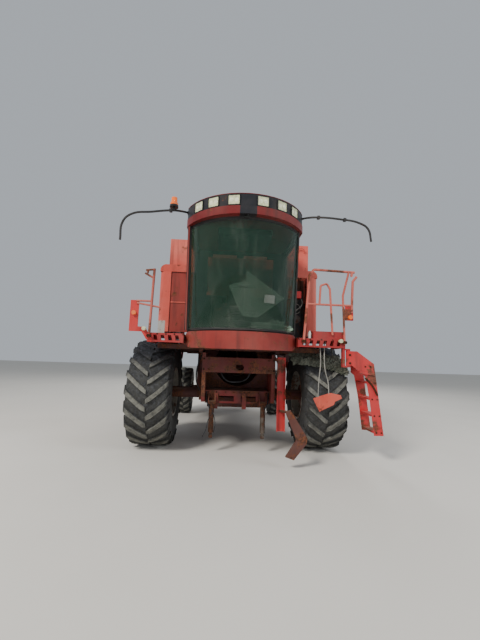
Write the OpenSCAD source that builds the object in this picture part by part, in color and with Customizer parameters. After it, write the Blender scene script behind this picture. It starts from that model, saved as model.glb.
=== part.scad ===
// Single-rotor combine harvester without its feeder house and header, as it stands on a yard.
// The front faces -Y and the machine's left side is +X. The origin is on the ground below the
// middle of the front axle.

/* [Machine] */
// Distance from the front axle to the rear axle
wheelbase = 3500; // [3400:10:3600]
// Height of the shoulder along the top of the body
shoulder_z = 3300; // [3250:10:3350]
// Half of the body's width over its side doors
body_hw = 1520; // [1490:5:1550]
// Thickness of the body's sheet metal
sheet = 6; // [4:1:8]
// Running clearance of pins, hinges and bearings on a side
fit = 0.05; // [0.03:0.01:0.1]

/* [Front wheels] */
// Diameter of the front tyres over their lugs
front_od = 1840; // [1800:5:1850]
// Width of the front tyres
front_w = 735; // [710:5:745]
// Distance between the middles of the front tyres
front_track = 2890; // [2870:5:2920]
// Diameter of the front rims at the bead
front_rim_d = 812; // [790:1:830]
// Lugs on each side of a front tyre
front_lugs = 20; // [16:1:22]
// Height of the front tyres' lugs
front_lug_h = 50; // [35:1:60]
// Diameter of the front axle's final drives
front_hub_d = 300; // [260:5:330]

/* [Rear wheels] */
// Diameter of the rear tyres over their lugs
rear_od = 1270; // [1250:5:1290]
// Width of the rear tyres
rear_w = 380; // [350:5:400]
// Distance between the middles of the rear tyres
rear_track = 2560; // [2540:5:2620]
// Diameter of the rear rims at the bead
rear_rim_d = 610; // [590:1:630]
// Lugs on each side of a rear tyre
rear_lugs = 18; // [14:1:20]
// Height of the rear tyres' lugs
rear_lug_h = 36; // [28:1:45]
// Distance between the two kingpins
kingpin_track = 2000; // [1980:5:2040]
// Diameter of the kingpins and spindles of the rear axle
rear_pin_d = 70; // [60:2:80]

/* [Cab] */
// Half of the cab's width over its posts
cab_hw = 860; // [845:5:880]
// Height of the cab's floor
cab_floor_z = 1960; // [1940:5:1980]
// Height of the windscreen's upper edge
glass_top_z = 3550; // [3530:5:3570]
// Radius of the windscreen in plan
screen_r = 1000; // [960:5:1050]
// Lean of the windscreen towards the front, in degrees
screen_lean = 9; // [6:0.5:11]
// Place of the windscreen's foot in the middle, from the front axle
screen_foot_y = -1420; // [-1440:5:-1400]
// Place of the cab's rear wall
cab_rear_y = -130; // [-150:5:-110]
// Thickness of the glass
glass_t = 8; // [6:1:10]
// Thickness of the cab's posts
post_t = 60; // [50:1:70]
// Height of the roof
roof_h = 320; // [300:5:330]
// Half of the roof's width
roof_hw = 915; // [905:5:930]

/* [Body] */
// Place of the grain tank's front wall
tank_front_y = 250; // [230:5:280]
// Place of the grain tank's rear wall
tank_rear_y = 2350; // [2300:10:2400]
// Half of the grain tank's width
tank_hw = 1400; // [1380:5:1410]
// Height of the extension on the grain tank
extension_h = 600; // [560:10:640]
// Half of the threshing body's width
thresher_hw = 600; // [580:5:620]
// Diameter of the rotor
rotor_d = 762; // [740:2:780]
// Place of the rear end of the body's side doors
door_rear_y = 4200; // [4150:10:4250]
// Height of the engine hood's top
hood_top_z = 3240; // [3200:10:3260]
// Diameter of the rotary air screen
screen_d = 640; // [600:10:680]

/* [Decks and ladder] */
// Height of the decks beside the cab
deck_z = 1900; // [1890:5:1910]
// Depth of the decks' perforated edges
deck_h = 140; // [120:5:150]
// Outer edge of the left deck
left_deck_x = 1640; // [1600:5:1660]
// Outer edge of the right deck
right_deck_x = 1440; // [1420:5:1460]
// Place of the decks' front edges
deck_front_y = -1080; // [-1100:5:-1070]
// Radius of the handrails' tube
rail_r = 20; // [17:1:22]
// Height of the handrails over the deck
rail_h = 1040; // [1000:10:1080]

/* [Unloading auger] */
// Diameter of the unloading auger's tube
auger_d = 300; // [280:5:310]
// Length of the swinging tube behind its elbow
auger_l = 4300; // [4100:50:4500]
// Place of the auger's turret from the front axle
auger_y = 1250; // [1230:10:1300]

/* [Hidden] */
$fn = 48;

front_r = front_od / 2;
rear_r = rear_od / 2;
// Gap between faces that are bolted or set against each other
seat_gap = 0.3;
tank_z = shoulder_z;
tank_side_z = 2750;
hopper_z = 2080;
hopper_hw = 480;
shoulder_r = 110;
// Share of a tyre's width that its bead seat takes
bead_share = 0.84;
roof_z = glass_top_z + 10;
screen_half = cab_hw - post_t / 3;
// Fall of the windscreen's plan curve from its middle to its ends
screen_bow = screen_r - sqrt(pow(screen_r, 2) - pow(screen_half, 2));
screen_top_y = screen_foot_y - (glass_top_z - cab_floor_z) * tan(screen_lean);
post_foot_y = screen_foot_y + screen_bow;

// A box between low and high limits on each axis
module block(x, y, z)
{
    translate([x[0], y[0], z[0]]) cube([x[1] - x[0], y[1] - y[0], z[1] - z[0]]);
}

// An outline in X and Z, as a plate between two places along Y
module plate_xz(y0, y1)
{
    translate([0, y1, 0]) rotate([90, 0, 0]) linear_extrude(y1 - y0) children();
}

// An outline in Y and Z, as a plate between two places along X
module plate_yz(x0, x1)
{
    translate([x0, 0, 0]) rotate([90, 0, 90]) linear_extrude(x1 - x0) children();
}

// A cylinder along X, Y or Z from a start point
module bar_x(p, r, l) { translate(p) rotate([0, 90, 0]) cylinder(r = r, h = l); }
module bar_y(p, r, l) { translate(p) rotate([-90, 0, 0]) cylinder(r = r, h = l); }
module bar_z(p, r, l) { translate(p) cylinder(r = r, h = l); }

// Both sides of the machine
module both() { children(); mirror([1, 0, 0]) children(); }

function unit(v) = v / norm(v);

// A straight rod between two points
module rod(a, b, r)
{
    d = b - a;
    translate(a) rotate([0, acos(d[2] / norm(d)), atan2(d[1], d[0])]) cylinder(r = r, h = norm(d));
}

// A bent tube through points, with an arc of the given radius at each corner. The straight
// lengths are a hair thinner than the arcs and reach a little way into them.
module pipe(points, r, bend)
{
    step = 0.2;
    grip = 2;
    n = len(points);
    turn = [for (i = [0 : n - 1]) i == 0 || i == n - 1 ? 0
        : 180 - acos(unit(points[i - 1] - points[i]) * unit(points[i + 1] - points[i]))];
    cut = [for (t = turn) bend * tan(t / 2)];
    for (i = [0 : n - 2])
    {
        along = unit(points[i + 1] - points[i]);
        start = points[i] + max(0, cut[i] - grip) * along;
        rod(start, points[i + 1] - max(0, cut[i + 1] - grip) * along, r - step);
    }
    for (i = [1 : n - 2])
    {
        u = unit(points[i - 1] - points[i]);
        v = unit(points[i + 1] - points[i]);
        middle = points[i] + unit(u + v) * bend / cos(turn[i] / 2);
        ex = unit(points[i] + cut[i] * u - middle);
        ez = unit(cross(ex, v));
        ey = cross(ez, ex);
        multmatrix([[ex[0], ey[0], ez[0], middle[0]], [ex[1], ey[1], ez[1], middle[1]],
            [ex[2], ey[2], ez[2], middle[2]], [0, 0, 0, 1]])
            rotate_extrude(angle = turn[i]) translate([bend, 0]) circle(r);
    }
}

// A point on a tyre: place along the axle, radius and angle, which is 0 at the front and grows upwards
function on_tyre(x, r, a) = [x, -r * cos(a), r * sin(a)];

// One ring of points round a tyre, four to each lug: root, tip, tip, root
function lug_ring(side, r, half_w, h, lugs, sweep, station) =
    [for (i = [0 : lugs - 1])
        let (tip = r - station[2], root = r - h - station[3],
            a = (i + side / 4) * 360 / lugs + sweep * station[0],
            tip_a = station[4] / tip * 180 / PI, root_a = station[5] / root * 180 / PI,
            tip_x = side * half_w * station[0], root_x = side * half_w * station[1])
        each [on_tyre(root_x, root, a - root_a), on_tyre(tip_x, tip, a - tip_a),
              on_tyre(tip_x, tip, a + tip_a), on_tyre(root_x, root, a + root_a)]];

// A plain ring of points, one to each lug
function plain_ring(side, x, r, lugs, sweep) =
    [for (i = [0 : lugs - 1]) on_tyre(side * x, r, (i + side / 4) * 360 / lugs + sweep)];

// Faces between two rings of n points each that start at a and b
function strip(a, b, n) = [for (k = [0 : n - 1]) each
    [[a + k, a + (k + 1) % n, b + k], [a + (k + 1) % n, b + (k + 1) % n, b + k]]];

// Faces from a ring with four points to a lug to a ring with one
function fan_in(a, b, lugs) = [for (i = [0 : lugs - 1]) each
    [for (k = [0 : 2]) [a + 4 * i + k, a + 4 * i + k + 1, b + i],
     [a + 4 * i + 3, a + (4 * i + 4) % (4 * lugs), b + i],
         [a + (4 * i + 4) % (4 * lugs), b + (i + 1) % lugs, b + i]]];

function turned(faces) = [for (f = faces) [f[0], f[2], f[1]]];

// A tractor tyre as one closed mesh: bars of tread sweep up from the middle to both shoulders
module tyre(r, half_w, h, rim_r, lugs, sweep)
{
    // columns: share of the half width at the tip and at the root, fall of the tip and of the root,
    // half thickness at the tip and at the root
    stations = [[0.010, 0.010, h, 0, 30, 40], [0.045, 0.025, 0, 0, 30, 42], [0.90, 0.88, 30, 26, 36, 46],
        [1.00, 0.95, 150, 110, 40, 48]];
    wall = r - h - rim_r;
    n = 4 * lugs;
    half = [for (side = [-1, 1]) concat(
        [for (s = stations) each lug_ring(side, r, half_w, h, lugs, sweep, s)],
        plain_ring(side, half_w - 14, rim_r + 0.42 * wall, lugs, sweep),
        plain_ring(side, half_w * bead_share, rim_r / cos(180 / lugs) + seat_gap, lugs, sweep))];
    m = len(half[0]);
    skin = concat(strip(0, n, n), strip(n, 2 * n, n), strip(2 * n, 3 * n, n), fan_in(3 * n, 4 * n, lugs),
        strip(4 * n, 4 * n + lugs, lugs));
    polyhedron(concat(half[0], half[1]), concat(turned(skin), [for (f = skin) f + [m, m, m]],
        strip(0, m, n), turned(strip(4 * n + lugs, m + 4 * n + lugs, lugs))));
}

// A steel wheel: barrel, two flanges, a dished disc with hand holes, and a hub with its bore
module rim(rim_r, half_w, disc_x, hub_r, hub_l, bore_r, holes)
{
    wall = 12;
    flange = 24;
    lip = half_w * bead_share + 8;
    difference()
    {
        rotate([0, 90, 0]) rotate_extrude()
            polygon([[rim_r - wall, -lip - wall], [rim_r + flange, -lip - wall],
            [rim_r + flange, -lip], [rim_r, -lip], [rim_r, lip], [rim_r + flange, lip],
            [rim_r + flange, lip + wall], [rim_r - wall, lip + wall], [rim_r - wall, disc_x + 60],
            [hub_r + 60, disc_x + wall], [hub_r, disc_x + wall], [hub_r, disc_x + hub_l],
            [bore_r, disc_x + hub_l], [bore_r, disc_x - hub_l], [hub_r, disc_x - hub_l], [hub_r, disc_x],
            [hub_r + 60, disc_x], [rim_r - wall, disc_x + 48]]);
        for (i = [0 : holes - 1])
            rotate([(i + 0.5) * 360 / holes, 0, 0])
                bar_x([disc_x - 30, 0, (hub_r + rim_r) / 2 + 15], (rim_r - hub_r) / 7, 150);
    }
}

spindle_r = front_hub_d / 2 - 70;
front_disc_x = 90;
front_hub_l = 70;
rear_disc_x = 40;
rear_hub_r = 95;

module front_place() { translate([front_track / 2, 0, front_r]) children(); }
module rear_place() { translate([rear_track / 2, wheelbase, rear_r]) children(); }

module front_tyre_left() color("dimgray") front_place()
    tyre(front_r, front_w / 2, front_lug_h, front_rim_d / 2, front_lugs, 22);
module front_tyre_right() mirror([1, 0, 0]) front_tyre_left();
module front_rim_left() color("silver") front_place()
    rim(front_rim_d / 2, front_w / 2, front_disc_x, front_hub_d / 2, front_hub_l, spindle_r + fit, 8);
module front_rim_right() mirror([1, 0, 0]) front_rim_left();
module rear_tyre_left() color("dimgray") rear_place()
    tyre(rear_r, rear_w / 2, rear_lug_h, rear_rim_d / 2, rear_lugs, 16);
module rear_tyre_right() mirror([1, 0, 0]) rear_tyre_left();
module rear_rim_left() color("silver") rear_place()
    rim(rear_rim_d / 2, rear_w / 2, rear_disc_x, rear_hub_r, 60, rear_pin_d / 2 + fit, 6);
module rear_rim_right() mirror([1, 0, 0]) rear_rim_left();

axle_flange_x = front_track / 2 + front_disc_x - front_hub_l - 12;
hanger_y = 150;
hanger_z = front_r + 170;
rail_x = [thresher_hw + 12, thresher_hw + 72];
rail_z = [1640, 1760];

// Front axle: cross tube, gearbox in the middle, final drives, their spindles and the bolted hangers
module front_axle()
{
    color("darkred")
    {
        bar_x([-axle_flange_x + 230, 0, front_r], 95, 2 * axle_flange_x - 460);
        block([-520, 520], [-170, 170], [front_r - 230, front_r - 60]);
        both()
        {
            bar_x([axle_flange_x - 260, 0, front_r], front_hub_d / 2 + 30, 200);
            bar_x([axle_flange_x - 70, 0, front_r], front_hub_d / 2 - 20, 66);
            bar_x([axle_flange_x - 80, 0, front_r], spindle_r, 230);
            block(rail_x, [-hanger_y, hanger_y], [front_r - 120, hanger_z]);
        }
    }
}

knuckle_x = kingpin_track / 2;
pin_r = rear_pin_d / 2;
axle_z = rear_r;
boss_r = 75;
boss_h = 90;
lug_t = 40;
arm_l = 230;
arm_pin_r = 15;
spindle_end_x = rear_track / 2 + rear_disc_x + 75;
pivot_z = axle_z + 180;
pivot_r = 45;

module rear_axle()
{
    color("darkred") difference()
    {
        union()
        {
            block([-knuckle_x + 40, knuckle_x - 40], [wheelbase - 70, wheelbase + 70],
                [axle_z - 70, axle_z + 70]);
            both() bar_z([knuckle_x, wheelbase, axle_z - boss_h], boss_r, 2 * boss_h);
            plate_xz(wheelbase - 60, wheelbase + 60)
                polygon([[-330, axle_z + 60], [330, axle_z + 60], [180, axle_z + 250],
                    [-180, axle_z + 250]]);
        }
        both() bar_z([knuckle_x, wheelbase, axle_z - boss_h - 1], pin_r + fit, 2 * boss_h + 2);
        bar_y([0, wheelbase - 61, pivot_z], pivot_r + fit, 122);
    }
}

// Steering knuckle: two lugs on a kingpin, an upright, the wheel's spindle and the steering arm
module knuckle()
{
    ear = boss_h + 1;
    arm_t = 25;
    translate([knuckle_x, wheelbase, axle_z])
    {
        difference()
        {
            union()
            {
                for (z = [-ear - lug_t, ear]) hull()
                {
                    bar_z([0, 0, z], 65, lug_t);
                    block([boss_r + 15, boss_r + 45], [-60, 60], [z, z + lug_t]);
                }
                block([boss_r + 15, boss_r + 55], [-60, 60], [-ear - lug_t, ear + lug_t]);
            }
            bar_z([0, 0, -ear - lug_t - 1], pin_r, 2 * (ear + lug_t + 1));
        }
        bar_z([0, 0, -ear - lug_t - 8], pin_r, 2 * (ear + lug_t + 8));
        bar_x([boss_r + 54, 0, 0], pin_r, spindle_end_x - knuckle_x - boss_r - 54);
        difference()
        {
            hull()
            {
                block([-30, 60], [40, 60], [-ear - lug_t, -ear - lug_t + arm_t]);
                bar_z([0, arm_l, -ear - lug_t], 34, arm_t);
            }
            bar_z([0, arm_l, -ear - lug_t - 1], arm_pin_r, arm_t + 2);
        }
        bar_z([0, arm_l, -ear - lug_t - 40], arm_pin_r, arm_t + 39.5);
    }
}
module knuckle_left() color("darkred") knuckle();
module knuckle_right() mirror([1, 0, 0]) knuckle_left();

tie_z = axle_z - boss_h - 1 - lug_t - 22;

// Tie rod between the steering arms' pins, with an eye at each end
module tie_rod()
{
    color("dimgray") difference()
    {
        union()
        {
            bar_x([-knuckle_x + 20, wheelbase + arm_l, tie_z], 18, 2 * knuckle_x - 40);
            both() bar_z([knuckle_x, wheelbase + arm_l, tie_z - 18], 32, 36);
        }
        bar_z([knuckle_x, wheelbase + arm_l, tie_z - 19], arm_pin_r + fit, 38);
        bar_z([-knuckle_x, wheelbase + arm_l, tie_z - 19], arm_pin_r + 0.5, 38);
    }
}

frame_y = [-660, 4635];
deck_low_z = deck_z - deck_h;
cross_z = [rail_z[1] - 80, rail_z[1]];
post_x = [1300, 1360];
beam_t = 60;
hood_z = [2420, hood_top_z];
hood_rear_y = 4240;
thresher_top_z = 2060;
// Half width, place along Y and height of the towing hitch behind the rear axle, and its hole
hitch = [80, wheelbase + 380, 1035];
hitch_t = 30;
hitch_r = 20;

// Height of the hopper's sloping side over a place along X
function slope_z(x) = hopper_z + (x - hopper_hw) * (tank_side_z - hopper_z) / (tank_hw - hopper_hw);

// A post under the hopper's sloping side
module tank_post(x, y, z0)
{
    plate_xz(y, y + beam_t)
        polygon([[x[0], z0], [x[1], z0], [x[1], slope_z(x[1]) - seat_gap],
            [x[0], slope_z(x[0]) - seat_gap]]);
}

// Main frame: long channels, cross beams, outriggers, posts, the axles' hangers and the fuel tank
module main_frame()
{
    color("darkred")
    {
        both()
        {
            block(rail_x, frame_y, rail_z);
            block([rail_x[0], post_x[1]], [frame_y[0] + 20, frame_y[0] + 80],
                [deck_low_z - 80, deck_low_z - seat_gap]);
            for (y = [620, tank_rear_y - 90, tank_rear_y + 60, 4100])
                block([rail_x[0], post_x[1]], [y, y + beam_t], cross_z);
            for (y = [tank_front_y + 20, tank_rear_y - 90]) tank_post(rail_x, y, rail_z[1] - 1);
            for (y = [620, tank_rear_y - 90]) tank_post(post_x, y, cross_z[0]);
            for (y = [tank_rear_y + 60, 4100])
                block(post_x, [y, y + beam_t], [cross_z[0], hood_z[0] - seat_gap]);
            block(rail_x, [-hanger_y, hanger_y], [hanger_z + seat_gap, rail_z[0] + 1]);
        }
        for (y = [frame_y[0] + 20, -165]) block([-rail_x[1], rail_x[1]], [y, y + 55], cross_z);
        difference()
        {
            for (y = [wheelbase - 130, wheelbase + 62])
                block([-200, 200], [y, y + 68], [axle_z + 110, 1010]);
            bar_y([0, wheelbase - 140, pivot_z], pivot_r, 280);
        }
        bar_y([0, wheelbase - 130, pivot_z], pivot_r, 260);
        for (y = [wheelbase - 130, wheelbase + 62])
            difference()
            {
                block([-rail_x[1], rail_x[1]], [y, y + 68], [1009, rail_z[0] + 1]);
                block([-rail_x[0], rail_x[0]], [y - 1, y + 69], [1060, rail_z[0] + 2]);
            }
        difference()
        {
            block([-hitch[0], hitch[0]], [wheelbase + 129, hitch[1] + hitch[0]],
                [hitch[2] - hitch_t / 2, hitch[2] + hitch_t / 2]);
            bar_z([0, hitch[1], hitch[2] - hitch_t], hitch_r, 2 * hitch_t);
        }
    }
    // fuel tank, hung on the left channel behind the wheel
    color("black") hull()
        for (y = [4250, 4490], z = [1350, 1650])
            bar_x([rail_x[1] - 1, y, z], 50, 560);
}

rotor_z = 1460;
rotor_bore = rotor_d / 2 + 25;
thresher_front_y = -100;

// Threshing and cleaning body, solid behind the rotor's inlet, with the grain elevator on its right
module thresher_body()
{
    floor_z = front_r + 110;
    elevator_y = [1500, 1750];
    color("firebrick")
    {
        difference()
        {
            plate_yz(-thresher_hw, thresher_hw)
                polygon([[thresher_front_y, floor_z], [700, floor_z], [760, 800], [2900, 760],
                    [3250, 1080],
                    [4400, 1080], [4640, 1500], [4640, thresher_top_z],
                        [thresher_front_y, thresher_top_z]]);
            bar_y([0, thresher_front_y - 1, rotor_z], rotor_bore, 760);
            // cooling slots in the cleaning shoe's sides
            for (y = [1000 : 260 : 2560])
                both() block([thresher_hw - 12, thresher_hw + 1], [y, y + 170], [900, 1120]);
        }
        plate_xz(elevator_y[0], elevator_y[1])
            polygon([[-rail_x[1] - 160, 850], [-thresher_hw + 1, 850], [-thresher_hw + 1, 1150],
                [-rail_x[1] - 4, 1150],
                [-rail_x[1] - 4, slope_z(rail_x[1] + 4) - seat_gap],
                [-rail_x[1] - 160, slope_z(rail_x[1] + 160) - seat_gap]]);
    }
}

shaft_r = 45;
bearing_y = [-430, -370];

// Rotor's inlet: a nose cone with three curved blades on its shaft
module rotor()
{
    blade_r = rotor_d / 2;
    color("gray")
    {
        translate([0, -60, rotor_z]) rotate([-90, 0, 0]) cylinder(r1 = 110, r2 = 240, h = 400);
        bar_y([0, 330, rotor_z], 240, 280);
        bar_y([0, bearing_y[0] - 10, rotor_z], shaft_r, 0 - bearing_y[0]);
        for (i = [0 : 2])
            translate([0, 0, rotor_z]) rotate([0, i * 120, 0])
                plate_yz(-8, 8) difference()
                {
                    polygon([[-90, 60], [400, 180], [400, blade_r], [150, blade_r], [-60, 300],
                        [-110, 150]]);
                    translate([-130, blade_r + 40]) circle(170);
                }
    }
}

throat_hw = 610;
throat_front_y = -650;
cheek_t = 60;
beam_z = [1330, 1560];
pivot_bore = [-540, 1500];
feeder_pin_r = 35;
cylinder_top = [430, -520, 800];
cylinder_pin_r = 20;
eye_hw = 50;
channel_top = [700, -720, 1550];
channel_hw = 66;
channel_pin_r = 16;

// Throat where the feeder house was: cheeks, cross beam, ledge, bearing bar and the cylinders' ears
module throat()
{
    inner = throat_hw - cheek_t + 1;
    ledge_z = [955, 1000];
    color("firebrick")
    {
        both()
        {
            difference()
            {
                plate_yz(throat_hw - cheek_t, throat_hw)
                    polygon([[throat_front_y, 1100], [throat_front_y + 90, 820],
                        [thresher_front_y - seat_gap, 820],
                        [thresher_front_y - seat_gap, 1630], [throat_front_y, 1630]]);
                bar_x([throat_hw - cheek_t - 1, pivot_bore[0], pivot_bore[1]], feeder_pin_r, cheek_t + 2);
            }
            for (x = [-eye_hw - 10, eye_hw + seat_gap])
                plate_yz(cylinder_top[0] + x, cylinder_top[0] + x + 10 - seat_gap)
                    polygon([[-550, 770], [-490, 770], [-400, 920], [-400, 990], [-440, 990],
                        [-550, 840]]);
            bar_x([cylinder_top[0] - eye_hw - 15, cylinder_top[1], cylinder_top[2]], cylinder_pin_r,
                2 * eye_hw + 30);
        }
        difference()
        {
            block([-throat_hw, throat_hw], [throat_front_y, throat_front_y + 60], beam_z);
            translate([20, throat_front_y - 1, beam_z[0] + 70]) rotate([-90, 0, 0])
                linear_extrude(62) polygon([[-70, -42], [40, -50], [66, -4], [52, 38], [-18, 52],
                    [-64, 30]]);
        }
        block([-inner, inner], [throat_front_y, throat_front_y + 190], [beam_z[0] - 20, beam_z[0] + 1]);
        difference()
        {
            block([-inner, inner], bearing_y, [rotor_z - 80, rotor_z + 80]);
            bar_y([0, bearing_y[0] - 1, rotor_z], shaft_r + fit, beam_t + 2);
        }
        block([-inner, inner], [-420, thresher_front_y - seat_gap], ledge_z);
        plate_xz(-440, -400) difference()
        {
            translate([-inner, 790]) square([2 * inner, ledge_z[1] - 790]);
            for (x = [-320, 60]) translate([x, 820]) square([260, 90]);
        }
        for (x = [-400, 80]) block([x, x + 70], [-470, -399], [700, 960]);
        // ear and pin of the safety channel
        block([throat_hw - 2, channel_top[0] - channel_hw - seat_gap],
            [channel_top[1] - 25, throat_front_y + 40],
            [channel_top[2] - 25, channel_top[2] + 30]);
        bar_x([throat_hw, channel_top[1], channel_top[2]], channel_pin_r,
            channel_top[0] + channel_hw + 8 - throat_hw);
    }
}

// Retracted lift cylinder, hanging from its upper pin
module lift_cylinder()
{
    barrel_r = 42;
    translate(cylinder_top) difference()
    {
        union()
        {
            bar_x([-eye_hw, 0, 0], barrel_r, 2 * eye_hw);
            bar_z([0, 0, -470], barrel_r, 440);
            bar_z([0, 0, -520], 24, 60);
            bar_x([-30, 0, -530], 34, 60);
        }
        bar_x([-eye_hw - 1, 0, 0], cylinder_pin_r + fit, 2 * eye_hw + 2);
        bar_x([-31, 0, -530], 18, 62);
    }
}
module lift_cylinder_left() color("dimgray") lift_cylinder();
module lift_cylinder_right() mirror([1, 0, 0]) lift_cylinder_left();

// Safety channel that locks the lift cylinders, hanging from its pin
module safety_channel()
{
    wall = 7;
    color("red") translate(channel_top) difference()
    {
        block([-channel_hw, channel_hw], [-30, 30], [-1150, 40]);
        block([-channel_hw + wall, channel_hw - wall], [-31, 30 - wall], [-1151, -60]);
        bar_x([-channel_hw - 1, 0, 0], channel_pin_r + fit, 2 * channel_hw + 2);
    }
}

shoulder_low_z = tank_z - 140;
panel_z = [2010, shoulder_low_z - seat_gap];
door_top_z = tank_z - 165;
hinge_x = body_hw - 20;
hinge_z = door_top_z - 20;
hinge_r = 8;
hinge_lug_w = 30;
hinge_ys = [400, 1280, 2150];
auger_r = auger_d / 2;
auger_x = tank_hw + auger_r + 12;
auger_z = tank_z + auger_r + 10;
spigot_r = 60;
spigot_h = 80;

// Outline of the tank in X and Z
function tank_outline() = [[-hopper_hw, hopper_z], [hopper_hw, hopper_z], [tank_hw, tank_side_z],
    [tank_hw, tank_z - 120], [-tank_hw, tank_z - 120], [-tank_hw, tank_side_z]];

// Grain tank: hopper with an open top, rounded shoulders, the side doors' hinge lugs and the auger's turret
module grain_tank()
{
    inner_hw = hopper_hw - sheet;
    color("firebrick")
    {
        difference()
        {
            plate_xz(tank_front_y, tank_rear_y) polygon(tank_outline());
            plate_xz(tank_front_y + sheet, tank_rear_y - sheet)
                polygon([[-inner_hw, hopper_z + sheet], [inner_hw, hopper_z + sheet],
                    [tank_hw - sheet, tank_side_z + 2],
                    [tank_hw - sheet, tank_z], [-tank_hw + sheet, tank_z],
                        [-tank_hw + sheet, tank_side_z + 2]]);
        }
        // cover over the emptying auger in the hopper
        plate_xz(tank_front_y + 1, tank_rear_y - 1)
            polygon([[-160, hopper_z + 1], [160, hopper_z + 1], [0, hopper_z + 230]]);
        difference()
        {
            intersection()
            {
                plate_xz(0, tank_rear_y) hull()
                {
                    for (x = [-1, 1]) translate([x * (body_hw - shoulder_r), tank_z - shoulder_r])
                        circle(shoulder_r);
                    translate([-body_hw, tank_z - 140]) square([2 * body_hw, 20]);
                }
                block([-body_hw, body_hw], [0, tank_rear_y], [shoulder_low_z, tank_z]);
            }
            block([-tank_hw + 60, tank_hw - 60], [tank_front_y + 60, tank_rear_y - 60],
                [tank_z - 200, tank_z + 10]);
            block([-tank_hw + sheet, tank_hw - sheet], [tank_front_y + sheet, tank_rear_y - sheet],
                [tank_z - 200, tank_z - 40]);
            block([-body_hw + sheet, body_hw - sheet], [sheet, tank_front_y - sheet],
                [tank_z - 200, tank_z - sheet]);
        }
        both() for (y = hinge_ys)
        {
            block([tank_hw - 1, hinge_x + 12], [y, y + hinge_lug_w], [hinge_z - 12, hinge_z + 12]);
            bar_y([hinge_x, y - hinge_lug_w, hinge_z], hinge_r, 3 * hinge_lug_w);
        }
        bar_z([auger_x, auger_y, shoulder_low_z], auger_r - 20, tank_z - shoulder_low_z);
        bar_z([auger_x, auger_y, tank_z - 1], spigot_r, spigot_h + 1);
    }
}

// Upright extension round the top of the tank
module tank_extension()
{
    flange = 30;
    y = [tank_front_y, tank_rear_y - 60];
    z = [tank_z + seat_gap, tank_z + extension_h];
    color("salmon") difference()
    {
        block([-tank_hw, tank_hw], y, z);
        block([-tank_hw + sheet, tank_hw - sheet], [y[0] + sheet, y[1] - sheet],
            [z[0] + sheet, z[1] - sheet]);
        block([-tank_hw + flange, tank_hw - flange], [y[0] + flange, y[1] - flange],
            [z[0] - 1, z[1] + 1]);
    }
}

module plate(z0, z1) { translate([0, 0, z0]) linear_extrude(z1 - z0) children(); }

bay_x = [cab_hw + 60, body_hw - 210];

// Rounded front corner of the body in plan
module column_outline()
{
    hull()
    {
        translate([body_hw - 90, 90]) circle(90);
        translate([bay_x[1], 0]) square([10, 120]);
        translate([body_hw - 10, 110]) square([10, 10]);
    }
}

// Front of the body: rounded corners, the closed panel on the right and the walls beside the cab
module front_panels()
{
    panel_y = [20, 20 + 2 * sheet];
    both()
    {
        color("salmon") difference()
        {
            plate(panel_z[0], panel_z[1]) column_outline();
            plate(panel_z[0] - 1, panel_z[1] + 1) offset(-sheet) column_outline();
            block([bay_x[1] - 30, body_hw - sheet], [100, 400], [panel_z[0] - 1, panel_z[1] + 1]);
        }
        color("maroon") block([bay_x[0] - 30, bay_x[0]], [panel_y[0], tank_front_y - seat_gap], panel_z);
    }
    color("maroon") block([-bay_x[1] - 1, -bay_x[0] + 1], panel_y, panel_z);
}

// A grooved pulley on the Z axis
module pulley(r)
{
    rotate_extrude() polygon([[0, 0], [r, 0], [r - 14, 12], [r - 14, 20], [r, 32], [0, 32]]);
}

// A belt round two pulleys in the plane
module belt(a, ra, b, rb)
{
    difference()
    {
        hull() { translate(a) circle(ra); translate(b) circle(rb); }
        hull() { translate(a) circle(ra - 9); translate(b) circle(rb - 9); }
    }
}

// Belts, pulleys and hoses in the open bay on the left, and the drives behind the left side door
module drive_bay()
{
    wall_y = tank_front_y - 18;
    // columns: X, Z, radius of each pulley in the bay
    front = [[1085, 2790, 125], [1150, 2360, 80], [1020, 2180, 55]];
    // columns: Y, Z, radius of each pulley beside the threshing body
    side = [[1050, 1330, 150], [1800, 1300, 230], [2550, 1420, 110]];
    side_x = thresher_hw + seat_gap;
    hose_r = 11;
    hose_y = wall_y - hose_r + 3;
    color("gray")
    {
        block([bay_x[0] + seat_gap, bay_x[1] - 5], [wall_y, tank_front_y - seat_gap], panel_z);
        for (p = front)
        {
            bar_y([p[0], wall_y - 80, p[1]], 22, 81);
            translate([p[0], wall_y - 40, p[1]]) rotate([90, 0, 0]) pulley(p[2]);
        }
        plate_xz(wall_y - 62, wall_y - 50) belt([front[0][0], front[0][1]], front[0][2] - 6,
            [front[1][0], front[1][1]], front[1][2] - 6);
        for (x = [975, 1000, 1262])
            pipe([[x, hose_y, panel_z[0] + 20], [x + 12, hose_y, 2700],
                [x - 10, hose_y, panel_z[1] - 20]],
                hose_r, 60);
        for (p = side)
        {
            bar_x([side_x, p[0], p[1]], 26, 90);
            translate([side_x + 30, p[0], p[1]]) rotate([0, 90, 0]) pulley(p[2]);
        }
        for (i = [0, 1]) plate_yz(side_x + 40, side_x + 52)
            belt([side[i][0], side[i][1]], side[i][2] - 6, [side[i + 1][0], side[i + 1][1]],
                side[i + 1][2] - 6);
    }
}

// Outline of the cab in plan: a round front of radius r between straight sides
module cab_outline(apex_y, hw, rear_y, r)
{
    intersection()
    {
        translate([-hw, apex_y]) square([2 * hw, rear_y - apex_y]);
        union()
        {
            translate([0, apex_y + r]) circle(r);
            translate([-hw, apex_y + r]) square([2 * hw, rear_y - apex_y]);
        }
    }
}

bumper_z = [1680, cab_floor_z - 20];

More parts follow.
